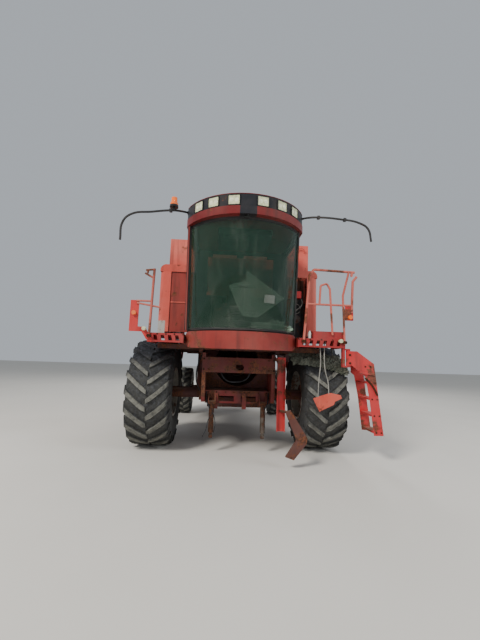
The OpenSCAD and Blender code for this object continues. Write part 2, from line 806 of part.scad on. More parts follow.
// Floor of the cab on its two beams and the curved bumper in front of it
module cab_base()
{
    floor_t = 80;
    color("dimgray")
    {
        plate(cab_floor_z - floor_t, cab_floor_z)
            cab_outline(screen_foot_y + 25, cab_hw, cab_rear_y, screen_r);
        for (x = [-560, 480])
            block([x, x + 80], [-1150, cab_rear_y - 5],
                [rail_z[1] + seat_gap, cab_floor_z - floor_t + 1]);
    }
    color("firebrick") intersection()
    {
        difference()
        {
            plate(bumper_z[0], bumper_z[1]) cab_outline(screen_foot_y - 30, cab_hw + 15, -700, screen_r);
            plate(bumper_z[0] - 1, cab_floor_z - floor_t - 1)
                cab_outline(screen_foot_y, cab_hw - 15, -600, screen_r - 30);
        }
        plate_xz(-1600, -500) hull()
            for (x = [-1, 1])
            {
                translate([x * (cab_hw - 90), bumper_z[0] + 120]) circle(110);
                translate([x * (cab_hw - 45), bumper_z[1] - 60]) circle(60);
                translate([x * (cab_hw - 420), bumper_z[0] + 60]) circle(60);
            }
    }
}

// A leaning slice of the cab's front between two plan radii
module leaning_front(r0, r1, x, z)
{
    intersection()
    {
        translate([0, screen_foot_y + screen_r, cab_floor_z]) rotate([screen_lean, 0, 0]) difference()
        {
            translate([0, 0, -300]) cylinder(r = r1, h = 2400, $fn = 192);
            translate([0, 0, -301]) cylinder(r = r0, h = 2402, $fn = 192);
        }
        block(x, [screen_top_y - 100, post_foot_y + 60], z);
    }
}

side_y = [post_foot_y + post_t + 10, cab_rear_y - post_t - 5];
side_z = [cab_floor_z + 65, glass_top_z - 45];
rear_window = [620, 2700, 3440];
glass_y = cab_rear_y - 20;
door_hinge = [cab_hw + 12, side_y[1] - 14];
door_hinge_zs = [cab_floor_z + 300, glass_top_z - 420];
door_pin_r = 6;
door_barrel_h = 120;

// Leaning outline of a cab side between the posts, in Y and Z
module side_outline(inset)
{
    lean = tan(screen_lean);
    polygon([[side_y[0] + inset - (side_z[0] - cab_floor_z) * lean, side_z[0] + inset],
        [side_y[1] - inset, side_z[0] + inset], [side_y[1] - inset, side_z[1] - inset],
        [side_y[0] + inset - (side_z[1] - cab_floor_z) * lean, side_z[1] - inset]]);
}

// Curved windscreen, the right side window and the rear window
module cab_glass()
{
    color("darkslategray")
    {
        leaning_front(screen_r - glass_t, screen_r, [-screen_half, screen_half],
            [cab_floor_z + 20 + seat_gap, glass_top_z - 20 - seat_gap]);
        plate_yz(-cab_hw + 15, -cab_hw + 15 + glass_t) side_outline(seat_gap);
        block([-rear_window[0] + seat_gap, rear_window[0] - seat_gap], [glass_y, glass_y + glass_t],
            [rear_window[1] + seat_gap, rear_window[2] - seat_gap]);
    }
}

// Leaning front posts, upright rear posts, sills, head rails, door hinge pins and the rear wall
module cab_frame()
{
    rear = [cab_rear_y - post_t, cab_rear_y];
    z = [cab_floor_z + seat_gap, roof_z - seat_gap];
    color("black")
    {
        both()
        {
            intersection()
            {
                translate([0, post_foot_y, cab_floor_z]) rotate([screen_lean, 0, 0])
                    block([screen_half + seat_gap, cab_hw], [-20, post_t], [-100, 2000]);
                block([0, cab_hw], [-3000, 0], z);
            }
            block([cab_hw - post_t, cab_hw], rear, z);
            block([cab_hw - post_t, cab_hw], [-1130, rear[0] + 1], [side_z[1], z[1]]);
            block([cab_hw - 40, cab_hw], [post_foot_y + 30, rear[0] + 1], [z[0], side_z[0]]);
        }
        leaning_front(screen_r - 45, screen_r, [-cab_hw + 1, cab_hw - 1], [glass_top_z - 20, z[1]]);
        leaning_front(screen_r - 40, screen_r, [-cab_hw + 1, cab_hw - 1], [z[0], cab_floor_z + 20]);
        difference()
        {
            block([-cab_hw + post_t - 1, cab_hw - post_t + 1], [cab_rear_y - 30, cab_rear_y], z);
            block([-rear_window[0], rear_window[0]], [cab_rear_y - 31, cab_rear_y + 1],
                [rear_window[1], rear_window[2]]);
        }
        for (h = door_hinge_zs)
        {
            block([cab_hw + 2, door_hinge[0] + 4], [door_hinge[1] - 6, side_y[1] + 40],
                [h - 22, h - seat_gap]);
            block([cab_hw - 1, cab_hw + 3], [side_y[1] + 8, side_y[1] + 40], [h - 22, h - seat_gap]);
            bar_z([door_hinge[0], door_hinge[1], h - 1], door_pin_r, door_barrel_h);
        }
    }
}

roof_apex_y = screen_top_y - 105;
band_z = [roof_z + 118, roof_z + roof_h - 22];
lamp_z = [20, band_z[1] - band_z[0] - 25];
lamp_angles = [-46, -30, -12, 12, 30, 46];
module lamp_place(a) { translate([0, roof_apex_y + screen_r, band_z[0]]) rotate([0, 0, a]) children(); }

// Roof with its overhanging lip, crowned top and the black lamp band in its front
module cab_roof()
{
    color("firebrick")
    {
        plate(roof_z, band_z[0] + 1) cab_outline(roof_apex_y - 10, roof_hw, cab_rear_y + 60, screen_r);
        plate(band_z[0], band_z[1] + 1) cab_outline(roof_apex_y + 40, roof_hw - 40, cab_rear_y + 40,
            screen_r - 40);
        hull()
        {
            plate(band_z[1], band_z[1] + 10)
                cab_outline(roof_apex_y, roof_hw - 5, cab_rear_y + 60, screen_r);
            plate(roof_z + roof_h - 8, roof_z + roof_h - 7)
                cab_outline(roof_apex_y + 40, roof_hw - 45, cab_rear_y + 20, screen_r - 40);
            plate(roof_z + roof_h - 1, roof_z + roof_h)
                cab_outline(roof_apex_y + 260, roof_hw - 260, cab_rear_y - 200, screen_r - 260);
        }
    }
    color("black") difference()
    {
        plate(band_z[0] + 0.5, band_z[1] + 0.5) difference()
        {
            cab_outline(roof_apex_y + 5, roof_hw - 5, -800, screen_r - 5);
            cab_outline(roof_apex_y + 42, roof_hw - 42, -700, screen_r - 42);
        }
        for (a = lamp_angles) lamp_place(a) block([-80, 80], [-screen_r - 1, -screen_r + 20], lamp_z);
    }
}

rail_y = deck_front_y - rail_r + 3;
arm_y = -1300;
beacon_place = [-1115, arm_y, roof_z + 268];

// Roof lamps, the beacon, the marker lamps on both sides and the rear lamps
module lamps()
{
    color("lightgray")
    {
        for (a = lamp_angles)
            lamp_place(a) block([-80 + seat_gap, 80 - seat_gap],
                [-screen_r - 2, -screen_r + 20 - seat_gap],
                [lamp_z[0] + seat_gap, lamp_z[1] - seat_gap]);
        bar_y([-1490, deck_front_y - 50, 1955], 30, 41);
        bar_y([1560, deck_front_y - 50, deck_z - 30], 30, 50 - seat_gap);
    }
    color("orange")
    {
        translate(beacon_place) { cylinder(r = 62, h = 50); cylinder(r1 = 52, r2 = 44, h = 145); }
        bar_y([-1655, deck_front_y - 50, 2192], 34, 41);
        bar_y([1709, rail_y - 45, 2250], 34, 40);
        both() for (z = [2560, 2700]) bar_y([1250, hood_rear_y + seat_gap, z], 50, 40);
    }
}

// Cab door with its hinge barrels and handle
module cab_door()
{
    barrel_r = 10;
    color("black") difference()
    {
        union()
        {
            plate_yz(cab_hw - 38, cab_hw) difference() { side_outline(3); side_outline(50); }
            for (z = door_hinge_zs)
            {
                bar_z([door_hinge[0], door_hinge[1], z], barrel_r, door_barrel_h);
                block([cab_hw - 1, door_hinge[0]], [side_y[1] - 50, door_hinge[1]], [z + 20, z + 100]);
            }
            block([cab_hw - 1, cab_hw + 22], [side_y[0] - 40, side_y[0] - 15],
                [cab_floor_z + 560, cab_floor_z + 700]);
        }
        for (z = door_hinge_zs) bar_z([door_hinge[0], door_hinge[1], z - 1], door_pin_r + fit,
            door_barrel_h + 2);
    }
}

module door_glass() color("darkslategray")
    plate_yz(cab_hw - 20, cab_hw - 20 + glass_t) side_outline(50 + seat_gap);

// Driver's seat on its pedestal
module seat()
{
    z = cab_floor_z + seat_gap;
    color("dimgray")
    {
        block([-180, 180], [-720, -380], [z, z + 330]);
        hull() for (x = [-215, 215], y = [-805, -375]) bar_z([x, y, z + 329], 35, 121);
        translate([0, -385, z + 430]) rotate([-8, 0, 0]) hull()
            for (x = [-190, 190], h = [40, 540]) bar_y([x, 0, h], 40, 110);
        block([-330, -251], [-780, -410], [z + 560, z + 620]);
        block([-300, -270], [-500, -460], [z + 300, z + 561]);
        block([-300, -179], [-500, -460], [z + 300, z + 330]);
    }
}

// Steering column with its wheel, and the console on the driver's right with the travel lever
module driver_controls()
{
    z = cab_floor_z + seat_gap;
    wheel = [0, -960, z + 740];
    color("black")
    {
        block([-110, 110], [-1200, -1080], [z, z + 60]);
        rod([0, -1140, z + 30], wheel, 40);
        translate(wheel) rotate([14, 0, 0])
        {
            rotate_extrude() translate([200, 0]) circle(15);
            for (i = [0 : 2]) rotate([0, 0, i * 120 + 90]) block([0, 200], [-14, 14], [-6, 6]);
        }
    }
    color("dimgray")
    {
        block([-800, -480], [-900, -220], [z, z + 560]);
        bar_z([-600, -780, z + 559], 14, 170);
        translate([-600, -780, z + 740]) sphere(34);
    }
}

// A deck with its punched front edge; the side edges end ahead of the tyre
module deck(inner, outer)
{
    z1 = deck_z - seat_gap;
    edge_t = 50;
    plate_xz(deck_front_y, deck_front_y + 40) difference()
    {
        translate([inner, deck_low_z]) square([outer - inner, deck_h]);
        for (x = [inner + 60 : 110 : outer - 90])
            translate([x, deck_low_z + 30]) polygon([[0, 0], [60, 0], [70, deck_h - 60],
                [20, deck_h - 60]]);
    }
    block([inner, outer], [deck_front_y, -60], [deck_z - 25, z1]);
    for (x = [inner, outer - edge_t])
        plate_yz(x, x + edge_t)
            polygon([[deck_front_y + 1, deck_low_z], [-570, deck_low_z], [-430, deck_z - 24],
                [deck_front_y + 1, deck_z - 24]]);
}

ladder_pin = [left_deck_x + 60, deck_front_y + 40];
ladder_pin_r = 20;
ladder_z = [1490, 1730];

// Left deck with its plum box, the handrails, the lamp bracket and the ladder's pin
module left_deck()
{
    mid_z = deck_z + rail_h / 2 + 20;
    top_z = deck_z + rail_h + 65;
    bracket_x = [left_deck_x - 40, ladder_pin[0] + ladder_pin_r + 5];
    bracket_y = [ladder_pin[1] - 27, ladder_pin[1] + 35];
    color("maroon")
    {
        deck(cab_hw + 30, left_deck_x);
        block([1130, left_deck_x], [deck_front_y, deck_front_y + 260], [deck_z - 1, deck_z + 115]);
        block([bracket_x[0], left_deck_x], bracket_y, [ladder_z[0] - 25, deck_low_z + 1]);
        block(bracket_x, bracket_y, [ladder_z[1] + 1, ladder_z[1] + 25]);
        block(bracket_x, bracket_y, [ladder_z[0] - 25, ladder_z[0] - 1]);
        bar_z([ladder_pin[0], ladder_pin[1], ladder_z[0] - 2], ladder_pin_r,
            ladder_z[1] - ladder_z[0] + 4);
    }
    color("salmon")
    {
        pipe([[970, rail_y, deck_low_z + 60], [1060, rail_y, top_z - 90], [1130, rail_y, top_z],
            [1880, rail_y, top_z - 20], [1765, rail_y, top_z - 170], [1740, rail_y, mid_z - 120]], rail_r,
                45);
        pipe([[1700, rail_y, top_z - 20], [1600, rail_y, top_z - 410], [1625, rail_y, deck_low_z + 60]],
            rail_r - 3, 60);
        pipe([[1005, rail_y, mid_z], [1745, rail_y, mid_z]], rail_r - 3, 60);
        pipe([[1430, rail_y, deck_z + 60], [1390, rail_y, top_z - 310], [1340, rail_y, top_z - 220],
            [1240, rail_y, top_z - 260], [1220, rail_y, mid_z]], rail_r - 3, 35);
    }
    color("red") plate_xz(rail_y - 5, rail_y + 5)
        polygon([[1650, 2200], [1765, 2200], [1765, 2440], [1640, 2440], [1600, 2200]]);
}

// Right deck with its rail post and loop, the lamp bracket and the pale plate
module right_deck()
{
    top_z = deck_z + rail_h;
    color("maroon") mirror([1, 0, 0]) deck(cab_hw + 30, right_deck_x);
    color("salmon")
    {
        pipe([[-1410, rail_y, deck_low_z + 60], [-1390, rail_y, top_z - 45]], rail_r, 60);
        pipe([[-1390, rail_y, top_z - 57], [-1595, rail_y, top_z - 85], [-1395, rail_y, top_z - 195]],
            rail_r - 4, 26);
        pipe([[-1630, rail_y, top_z - 560], [-1395, rail_y, top_z - 560]], rail_r - 5, 60);
        pipe([[-1620, rail_y, top_z - 595], [-1270, rail_y, top_z - 650]], rail_r - 5, 60);
    }
    color("red") plate_xz(deck_front_y - 9, deck_front_y + 1)
        polygon([[-1720, 1910], [-1530, 1910], [-right_deck_x - 10, deck_low_z + 30],
            [-right_deck_x + 80, deck_low_z + 30],
            [-1480, 1980], [-1590, 1985], [-1590, 2390], [-1720, 2390]]);
    color("lightgray") block([-1290, -1185], [deck_front_y + 4, deck_front_y + 10],
        [deck_z - 1, deck_z + 190]);
}

ladder_w = 420;

// Swinging ladder: an upright tube on the deck's pin, two stringers and the steps
module ladder()
{
    y0 = ladder_pin[1] - 30;
    top = ladder_z[1] - 10;
    color("red")
    {
        difference()
        {
            union()
            {
                bar_z([ladder_pin[0], ladder_pin[1], ladder_z[0]], 34, ladder_z[1] - ladder_z[0]);
                plate_xz(y0 - 8, y0) polygon([[1688, 1500], [1745, 1495], [1860, 1410], [1960, 1330],
                    [2020, 980],
                    [2080, 440], [2230, 440], [2100, 1530], [1830, top], [1688, top]]);
            }
            bar_z([ladder_pin[0], ladder_pin[1], ladder_z[0] - 1], ladder_pin_r + fit,
                ladder_z[1] - ladder_z[0] + 2);
        }
        plate_xz(y0 + ladder_w, y0 + ladder_w + 8)
            polygon([[1900, 1380], [1960, 1330], [2020, 980], [2080, 440],
            [2230, 440], [2100, 1530], [1990, 1620], [1900, 1620]]);
        // columns: height and inner place of each step
        for (s = [[470, 2085], [720, 2060], [970, 2030], [1220, 2000], [1470, 1930]])
            block([s[1], s[1] + 140], [y0 - 1, y0 + ladder_w + 1], [s[0], s[0] + 30]);
    }
}

// Bent arms that held the mirrors, on feet at the roof's sides, and the beacon's stub
module mirror_arms()
{
    foot_x = roof_hw - 5 + seat_gap;
    arm_r = 15;
    z = [roof_z + 205, roof_z + 245];
    color("black")
    {
        block([-foot_x - 12, -foot_x], [-1130, -1060], [z[0] - 25, z[0] + 25]);
        block([foot_x, foot_x + 12], [-1130, -1060], [z[1] - 25, z[1] + 15]);
        pipe([[-foot_x - 11, -1100, z[0]], [-1120, arm_y, z[0]], [-1690, arm_y, roof_z + 150],
            [-1860, arm_y, roof_z + 40], [-1900, arm_y, 3260]], arm_r, 110);
        pipe([[foot_x + 11, -1100, z[1]], [1130, arm_y, z[1]], [1850, arm_y, roof_z + 205],
            [1960, arm_y, roof_z + 80], [1990, arm_y, 3440]], arm_r, 110);
        translate([0, 0, -60]) bar_z(beacon_place, arm_r, 60 - seat_gap);
    }
}

// Outline of a side door in Y and Z
module door_outline(inset)
{
    offset(-inset) polygon([[140, 2010], [980, 1960], [1080, 1860], [1120, 1290], [1200, 1210],
        [2560, 1210],
        [2700, 1330], [2860, 1500], [4000, 1500], [door_rear_y, 1720], [door_rear_y, 2360],
        [2450, 2390], [tank_rear_y, 2560], [tank_rear_y, door_top_z], [140, door_top_z]]);
}

// Side door of pressed sheet, with a notch and two barrels at each hinge lug
module side_door()
{
    door_t = 40;
    barrel_r = 14;
    reach = 45;
    notch = 32;
    difference()
    {
        union()
        {
            difference()
            {
                plate_yz(body_hw - door_t, body_hw) door_outline(0);
                plate_yz(body_hw - door_t - 1, body_hw - sheet) door_outline(30);
                for (y = hinge_ys)
                    block([body_hw - door_t - 1, body_hw + 1], [y - notch, y + hinge_lug_w + notch],
                        [hinge_z - 30, door_top_z + 1]);
            }
            for (y = hinge_ys)
            {
                bar_y([hinge_x, y - reach, hinge_z], barrel_r, reach - seat_gap);
                bar_y([hinge_x, y + hinge_lug_w + seat_gap, hinge_z], barrel_r, reach - seat_gap);
            }
        }
        for (y = hinge_ys) bar_y([hinge_x, y - hinge_lug_w - 1, hinge_z], hinge_r + fit,
            3 * hinge_lug_w + 2);
    }
}
module side_door_left() color("firebrick") side_door();
module side_door_right() mirror([1, 0, 0]) side_door_left();

module engine() color("dimgray") block([-550, 500], [2620, 3560], [thresher_top_z + seat_gap, 2900]);

hood_hw = 1380;
screen_place = [3050, (hood_z[0] + hood_z[1]) / 2 - 25];
screen_out_r = screen_d / 2;
screen_pin_r = 20;

// Engine hood with its flanges, the air screen's ring and bearing bar, the exhaust and the auger's cradle
module engine_hood()
{
    flange = 90;
    corner_r = 60;
    y = [tank_rear_y + seat_gap, hood_rear_y];
    cradle_y = 4080;
    color("firebrick")
    {
        difference()
        {
            plate_xz(y[0], y[1]) hull()
                for (x = [-1, 1])
                {
                    translate([x * (hood_hw - corner_r), hood_z[1] - corner_r]) circle(corner_r);
                    translate([x * (hood_hw - 10), hood_z[0] + 10]) square(20, center = true);
                }
            block([-hood_hw + sheet, hood_hw - sheet], [y[0] + sheet, y[1] - sheet],
                [hood_z[0] + sheet, hood_z[1] - corner_r]);
            block([-hood_hw + corner_r, hood_hw - corner_r], [y[0] + sheet, y[1] - sheet],
                [hood_z[0] + sheet, hood_z[1] - sheet]);
            block([-hood_hw + flange, hood_hw - flange], [y[0] + sheet, y[1] - sheet],
                [hood_z[0] - 1, hood_z[1] - corner_r]);
            bar_x([-hood_hw - 1, screen_place[0], screen_place[1]], screen_out_r - 10, 60);
        }
        translate([-hood_hw + 1, screen_place[0], screen_place[1]]) rotate([0, -90, 0]) rotate_extrude()
            polygon([[screen_out_r + 10, 0], [screen_out_r + 36, 0], [screen_out_r + 36, 80],
                [screen_out_r + 20, 96],
                [screen_out_r + 10, 96]]);
        block([-hood_hw, -hood_hw + 20], [screen_place[0] - 30, screen_place[0] + 30],
            [screen_place[1] - screen_out_r - 10, screen_place[1] + screen_out_r + 10]);
        bar_x([-hood_hw - 75, screen_place[0], screen_place[1]], screen_pin_r, 80);
        bar_z([720, 3300, hood_z[1] - 1], 62, 420);
        block([hood_hw - 1, hood_hw + 12], [cradle_y, cradle_y + 60],
            [hood_z[1] - 300, auger_z - auger_r - seat_gap]);
        block([hood_hw + 11, auger_x + 60], [cradle_y, cradle_y + 60],
            [auger_z - auger_r - 14, auger_z - auger_r - seat_gap]);
    }
}

// Rotary air screen: a dished drum with a perforated rim and its hub on the hood's pin
module air_screen()
{
    r = screen_out_r;
    color("black") translate([-hood_hw - 12, screen_place[0], screen_place[1]]) rotate([0, -90, 0])
        difference()
    {
        union()
        {
            rotate_extrude() polygon([[0, 58], [r * 0.55, 58], [r, 44], [r, 0], [r - 8, 0], [r - 8, 36],
                [r * 0.55 - 2, 50], [0, 50]]);
            cylinder(r = 44, h = 72);
            for (i = [0 : 5]) rotate([0, 0, i * 60]) block([40, r - 6], [-5, 5], [30, 51]);
        }
        translate([0, 0, -1]) cylinder(r = screen_pin_r + fit, h = 66);
    }
}

// Unloading auger: its turning elbow on the turret, the long tube and the spout
module unloading_auger()
{
    spout_r = auger_r - 12;
    color("firebrick") difference()
    {
        union()
        {
            bar_z([auger_x, auger_y, tank_z + seat_gap], auger_r, auger_z - tank_z - seat_gap);
            translate([auger_x, auger_y, auger_z]) sphere(auger_r + 6);
            bar_y([auger_x, auger_y, auger_z], auger_r, auger_l);
            bar_y([auger_x, auger_y + 120, auger_z], auger_r + 9, 40);
            bar_y([auger_x, auger_y + auger_l - 170, auger_z], auger_r + 9, 170);
            bar_z([auger_x, auger_y + auger_l - 90, auger_z - 260], spout_r - 60, 260);
        }
        bar_z([auger_x, auger_y, tank_z - 1], spigot_r + fit, spigot_h + 2);
    }
}

hood_end = [4640, 5420];
chopper_place = [5030, 960];
chopper_hw = 640;
chopper_shaft_r = 30;

// Straw hood over the rear of the machine with the chopper's housing below it
module rear_hood()
{
    hw = 660;
    low_z = 1110;
    color("firebrick")
    {
        difference()
        {
            plate_yz(-hw, hw) polygon([[hood_rear_y + seat_gap, thresher_top_z + seat_gap],
                [hood_end[0] + seat_gap, thresher_top_z + seat_gap], [hood_end[0] + seat_gap, low_z],
                    [5350, low_z],
                [hood_end[1], 1500], [5200, 2300], [4900, 2460], [hood_rear_y + seat_gap, 2460]]);
            plate_yz(-hw + sheet, hw - sheet) polygon([[hood_rear_y + 7, thresher_top_z + 7],
                [hood_end[0] + 7, thresher_top_z + 7], [hood_end[0] + 7, low_z - 1], [5342, low_z - 1],
                [hood_end[1] - 7, 1500], [5195, 2292], [4898, 2452], [hood_rear_y + 7, 2452]]);
        }
        difference()
        {
            block([-chopper_hw - 40, chopper_hw + 40], [4780, 5280], [820, low_z + 1]);
            bar_x([-chopper_hw, chopper_place[0], chopper_place[1]], 155, 2 * chopper_hw);
            block([-chopper_hw, chopper_hw], [4900, 5160], [819, chopper_place[1]]);
            block([-chopper_hw, chopper_hw], [4880, 5180], [chopper_place[1], low_z + 2]);
            bar_x([-chopper_hw - 41, chopper_place[0], chopper_place[1]], chopper_shaft_r + fit,
                2 * chopper_hw + 82);
        }
        for (x = [-560 : 140 : 560]) block([x - 4, x + 4], [5190, hood_end[1]], [840, 1001]);
        block([-chopper_hw, chopper_hw], [5270, 5420], [1000, 1010]);
    }
}

// Chopper's shaft with its rows of swinging knives
module chopper_rotor()
{
    color("gray")
    {
        bar_x([-chopper_hw - 60, chopper_place[0], chopper_place[1]], chopper_shaft_r,
            2 * chopper_hw + 120);
        bar_x([-chopper_hw + 10, chopper_place[0], chopper_place[1]], 60, 2 * chopper_hw - 20);
        for (i = [0 : 8])
            translate([-560 + i * 140, chopper_place[0], chopper_place[1]]) rotate([i * 90, 0, 0])
                block([-5, 5], [-25, 25], [-145, 145]);
    }
}

main_frame();
thresher_body();
throat();
rotor();
front_axle();
front_tyre_left();
front_tyre_right();
front_rim_left();
front_rim_right();
rear_axle();
knuckle_left();
knuckle_right();
tie_rod();
rear_tyre_left();
rear_tyre_right();
rear_rim_left();
rear_rim_right();
lift_cylinder_left();
lift_cylinder_right();
safety_channel();
grain_tank();
tank_extension();
front_panels();
drive_bay();
cab_base();
cab_frame();
cab_roof();
lamps();
cab_glass();
cab_door();
door_glass();
seat();
driver_controls();
left_deck();
right_deck();
ladder();
mirror_arms();
side_door_left();
side_door_right();
engine();
engine_hood();
air_screen();
unloading_auger();
rear_hood();
chopper_rotor();
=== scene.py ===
# The finish of every surface of a derelict combine harvester, and the pieces that its CAD leaves out.
# Metres. The front faces -Y, the machine's left side is +X, and the floor is Z = 0.
from collections import namedtuple
from math import cos, pi, radians, sin, tan

import bmesh
import bpy
from mathutils import Matrix, Vector, noise


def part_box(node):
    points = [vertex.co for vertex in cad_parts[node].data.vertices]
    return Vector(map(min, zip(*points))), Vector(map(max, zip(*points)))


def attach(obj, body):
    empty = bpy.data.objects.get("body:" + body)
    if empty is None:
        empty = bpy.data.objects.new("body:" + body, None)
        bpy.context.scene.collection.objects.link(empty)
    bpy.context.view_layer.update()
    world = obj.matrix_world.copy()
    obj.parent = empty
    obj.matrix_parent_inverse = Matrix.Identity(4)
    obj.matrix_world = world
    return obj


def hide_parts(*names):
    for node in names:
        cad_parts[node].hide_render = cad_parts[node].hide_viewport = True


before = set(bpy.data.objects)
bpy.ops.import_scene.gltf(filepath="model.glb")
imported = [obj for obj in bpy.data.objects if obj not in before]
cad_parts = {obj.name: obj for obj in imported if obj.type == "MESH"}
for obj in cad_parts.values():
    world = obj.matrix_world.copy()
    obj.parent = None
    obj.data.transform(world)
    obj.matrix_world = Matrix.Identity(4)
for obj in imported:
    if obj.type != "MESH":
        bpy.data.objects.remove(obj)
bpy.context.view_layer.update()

# Directions
FORWARD, LEFT, RIGHT = (0, -1, 0), (1, 0, 0), (-1, 0, 0)


# ---------------------------------------------------------------- camera, light and floor

EYE = Vector((-0.31, -6.02, 1.525))
YAW, PITCH, ROLL = -0.0562, 0.1245, 0.0325
LENS_MM, SENSOR_MM = 24, 36


def set_camera():
    """The phone's place in the photograph: standing height, a little to the machine's right"""
    camera = bpy.data.cameras.new("camera")
    camera.sensor_fit = "HORIZONTAL"
    camera.sensor_width = SENSOR_MM
    camera.lens = LENS_MM
    camera.clip_end = 200
    holder = bpy.data.objects.new("camera", camera)
    bpy.context.collection.objects.link(holder)
    turn = Matrix.Rotation(YAW, 4, "Z") @ Matrix.Rotation(pi / 2 + PITCH, 4, "X") @ Matrix.Rotation(ROLL, 4, "Z")
    holder.matrix_world = Matrix.Translation(EYE) @ turn
    bpy.context.scene.camera = holder


def soft_light(name, place, target, size, watts, colour=(1, 1, 1)):
    """A round lamp that is not mirrored in glass and paint"""
    light = bpy.data.lights.new(name, "AREA")
    light.shape = "DISK"
    light.size = size
    light.energy = watts
    light.color = colour
    holder = bpy.data.objects.new(name, light)
    bpy.context.collection.objects.link(holder)
    aim = (Vector(target) - Vector(place)).to_track_quat("-Z", "Y")
    holder.matrix_world = Matrix.Translation(place) @ aim.to_matrix().to_4x4()
    holder.visible_glossy = False


def set_stage():
    """A pale floor, a pale sky and two broad lamps"""
    world = bpy.data.worlds.new("studio")
    world.use_nodes = True
    world.node_tree.nodes["Background"].inputs["Color"].default_value = (0.80, 0.86, 0.93, 1)
    world.node_tree.nodes["Background"].inputs["Strength"].default_value = 0.55
    bpy.context.scene.world = world
    soft_light("key", (-9, -11, 13), (0, 0, 1.5), 5, 3800, (1, 0.97, 0.92))
    soft_light("fill", (11, -7, 7), (0, 1, 1.5), 7, 900, (0.93, 0.96, 1))
    soft_light("back", (2, 15, 11), (0, 2, 2), 7, 1300)
    bm = bmesh.new()
    bmesh.ops.create_grid(bm, x_segments=1, y_segments=1, size=60)
    mesh = bpy.data.meshes.new("floor")
    bm.to_mesh(mesh)
    bm.free()
    floor = bpy.data.objects.new("floor", mesh)
    bpy.context.collection.objects.link(floor)
    finish = Finish("pale_floor")
    tone = finish.mix(finish.noise(0.6, 4), srgb(196, 192, 184), srgb(206, 202, 195))
    mesh.materials.append(finish.surface(tone, 0.9))


# ---------------------------------------------------------------- finishes


def srgb(red, green, blue):
    """A colour as a screen shows it, from 0 to 255, in the renderer's linear values"""
    return tuple(((c / 255 + 0.055) / 1.055) ** 2.4 if c > 10 else c / 255 / 12.92 for c in (red, green, blue))


class Socket:
    """One output in a finish's node tree; Python's operators on it add Math nodes"""

    def __init__(self, finish, output):
        self.finish, self.output = finish, output

    def __add__(self, other):
        return self.finish.math("ADD", self, other)

    def __sub__(self, other):
        return self.finish.math("SUBTRACT", self, other)

    def __rsub__(self, other):
        return self.finish.math("SUBTRACT", other, self)

    def __mul__(self, other):
        return self.finish.math("MULTIPLY", self, other)

    def __gt__(self, other):
        return self.finish.math("GREATER_THAN", self, other)

    def __lt__(self, other):
        return self.finish.math("LESS_THAN", self, other)

    __radd__ = __add__
    __rmul__ = __mul__


class Finish:
    """The node tree of one material, laid out on Object coordinates in metres"""

    def __init__(self, name):
        self.material = bpy.data.materials.new(name)
        self.material.use_nodes = True
        self.tree = self.material.node_tree
        self.tree.nodes.clear()
        self.place = self.node("TexCoord", out="Object")
        self.x, self.y, self.z = self.split(self.place)
        self.up = self.split(self.node("TexCoord", out="Normal"))[2]

    def node(self, kind, settings=None, sockets=None, out=0):
        """A shader node with its settings, then the values or links of its sockets"""
        made = self.tree.nodes.new("ShaderNode" + kind)
        for key, value in (settings or {}).items():
            setattr(made, key, value)
        for key, value in (sockets or {}).items():
            if isinstance(value, Socket):
                self.tree.links.new(value.output, made.inputs[key])
            else:
                colour = isinstance(value, tuple) and made.inputs[key].type == "RGBA"
                made.inputs[key].default_value = (*value, 1) if colour else value
        return Socket(self, made.outputs[out]) if made.outputs else None

    def split(self, vector):
        parts = self.node("SeparateXYZ", None, {0: vector}).output.node
        return [Socket(self, output) for output in parts.outputs]

    def math(self, operation, a, b):
        return self.node("Math", {"operation": operation}, {0: a, 1: b})

    def mix(self, share, a, b):
        return self.node("Mix", {"data_type": "RGBA"}, {0: share, 6: a, 7: b}, 2)

    def ramp(self, value, low, high):
        """0 below low, 1 above high and smooth in between"""
        return self.node("MapRange", {"interpolation_type": "SMOOTHSTEP"}, {0: value, 1: low, 2: high})

    def noise(self, scale, detail=3, rough=0.5, stretch=None):
        place = self.node("Mapping", None, {0: self.place, 3: stretch}) if stretch else self.place
        return self.node("TexNoise", None, {"Vector": place, "Scale": scale, "Detail": detail, "Roughness": rough})

    def within(self, x=None, y=None, z=None):
        """1 inside a box of the machine and 0 outside"""
        mask = 1
        for axis, span in ((self.x, x), (self.y, y), (self.z, z)):
            if span:
                mask = (axis > span[0]) * (axis < span[1]) * mask
        return mask

    def surface(self, colour, rough, bump=None, depth=0.003, **constants):
        """The shader; constants are its other sockets by name, with _ for a space"""
        sockets = {"Base Color": colour, "Roughness": rough}
        sockets.update((key.replace("_", " "), value) for key, value in constants.items())
        if bump is not None:
            sockets["Normal"] = self.node("Bump", None, {"Height": bump, "Distance": depth})
        self.node("OutputMaterial", None, {0: self.node("BsdfPrincipled", None, sockets)})
        return self.material


DUST = srgb(146, 133, 118)
GRIME = srgb(40, 33, 30)
RUST = srgb(110, 62, 38)
DARK_RUST = srgb(62, 38, 28)


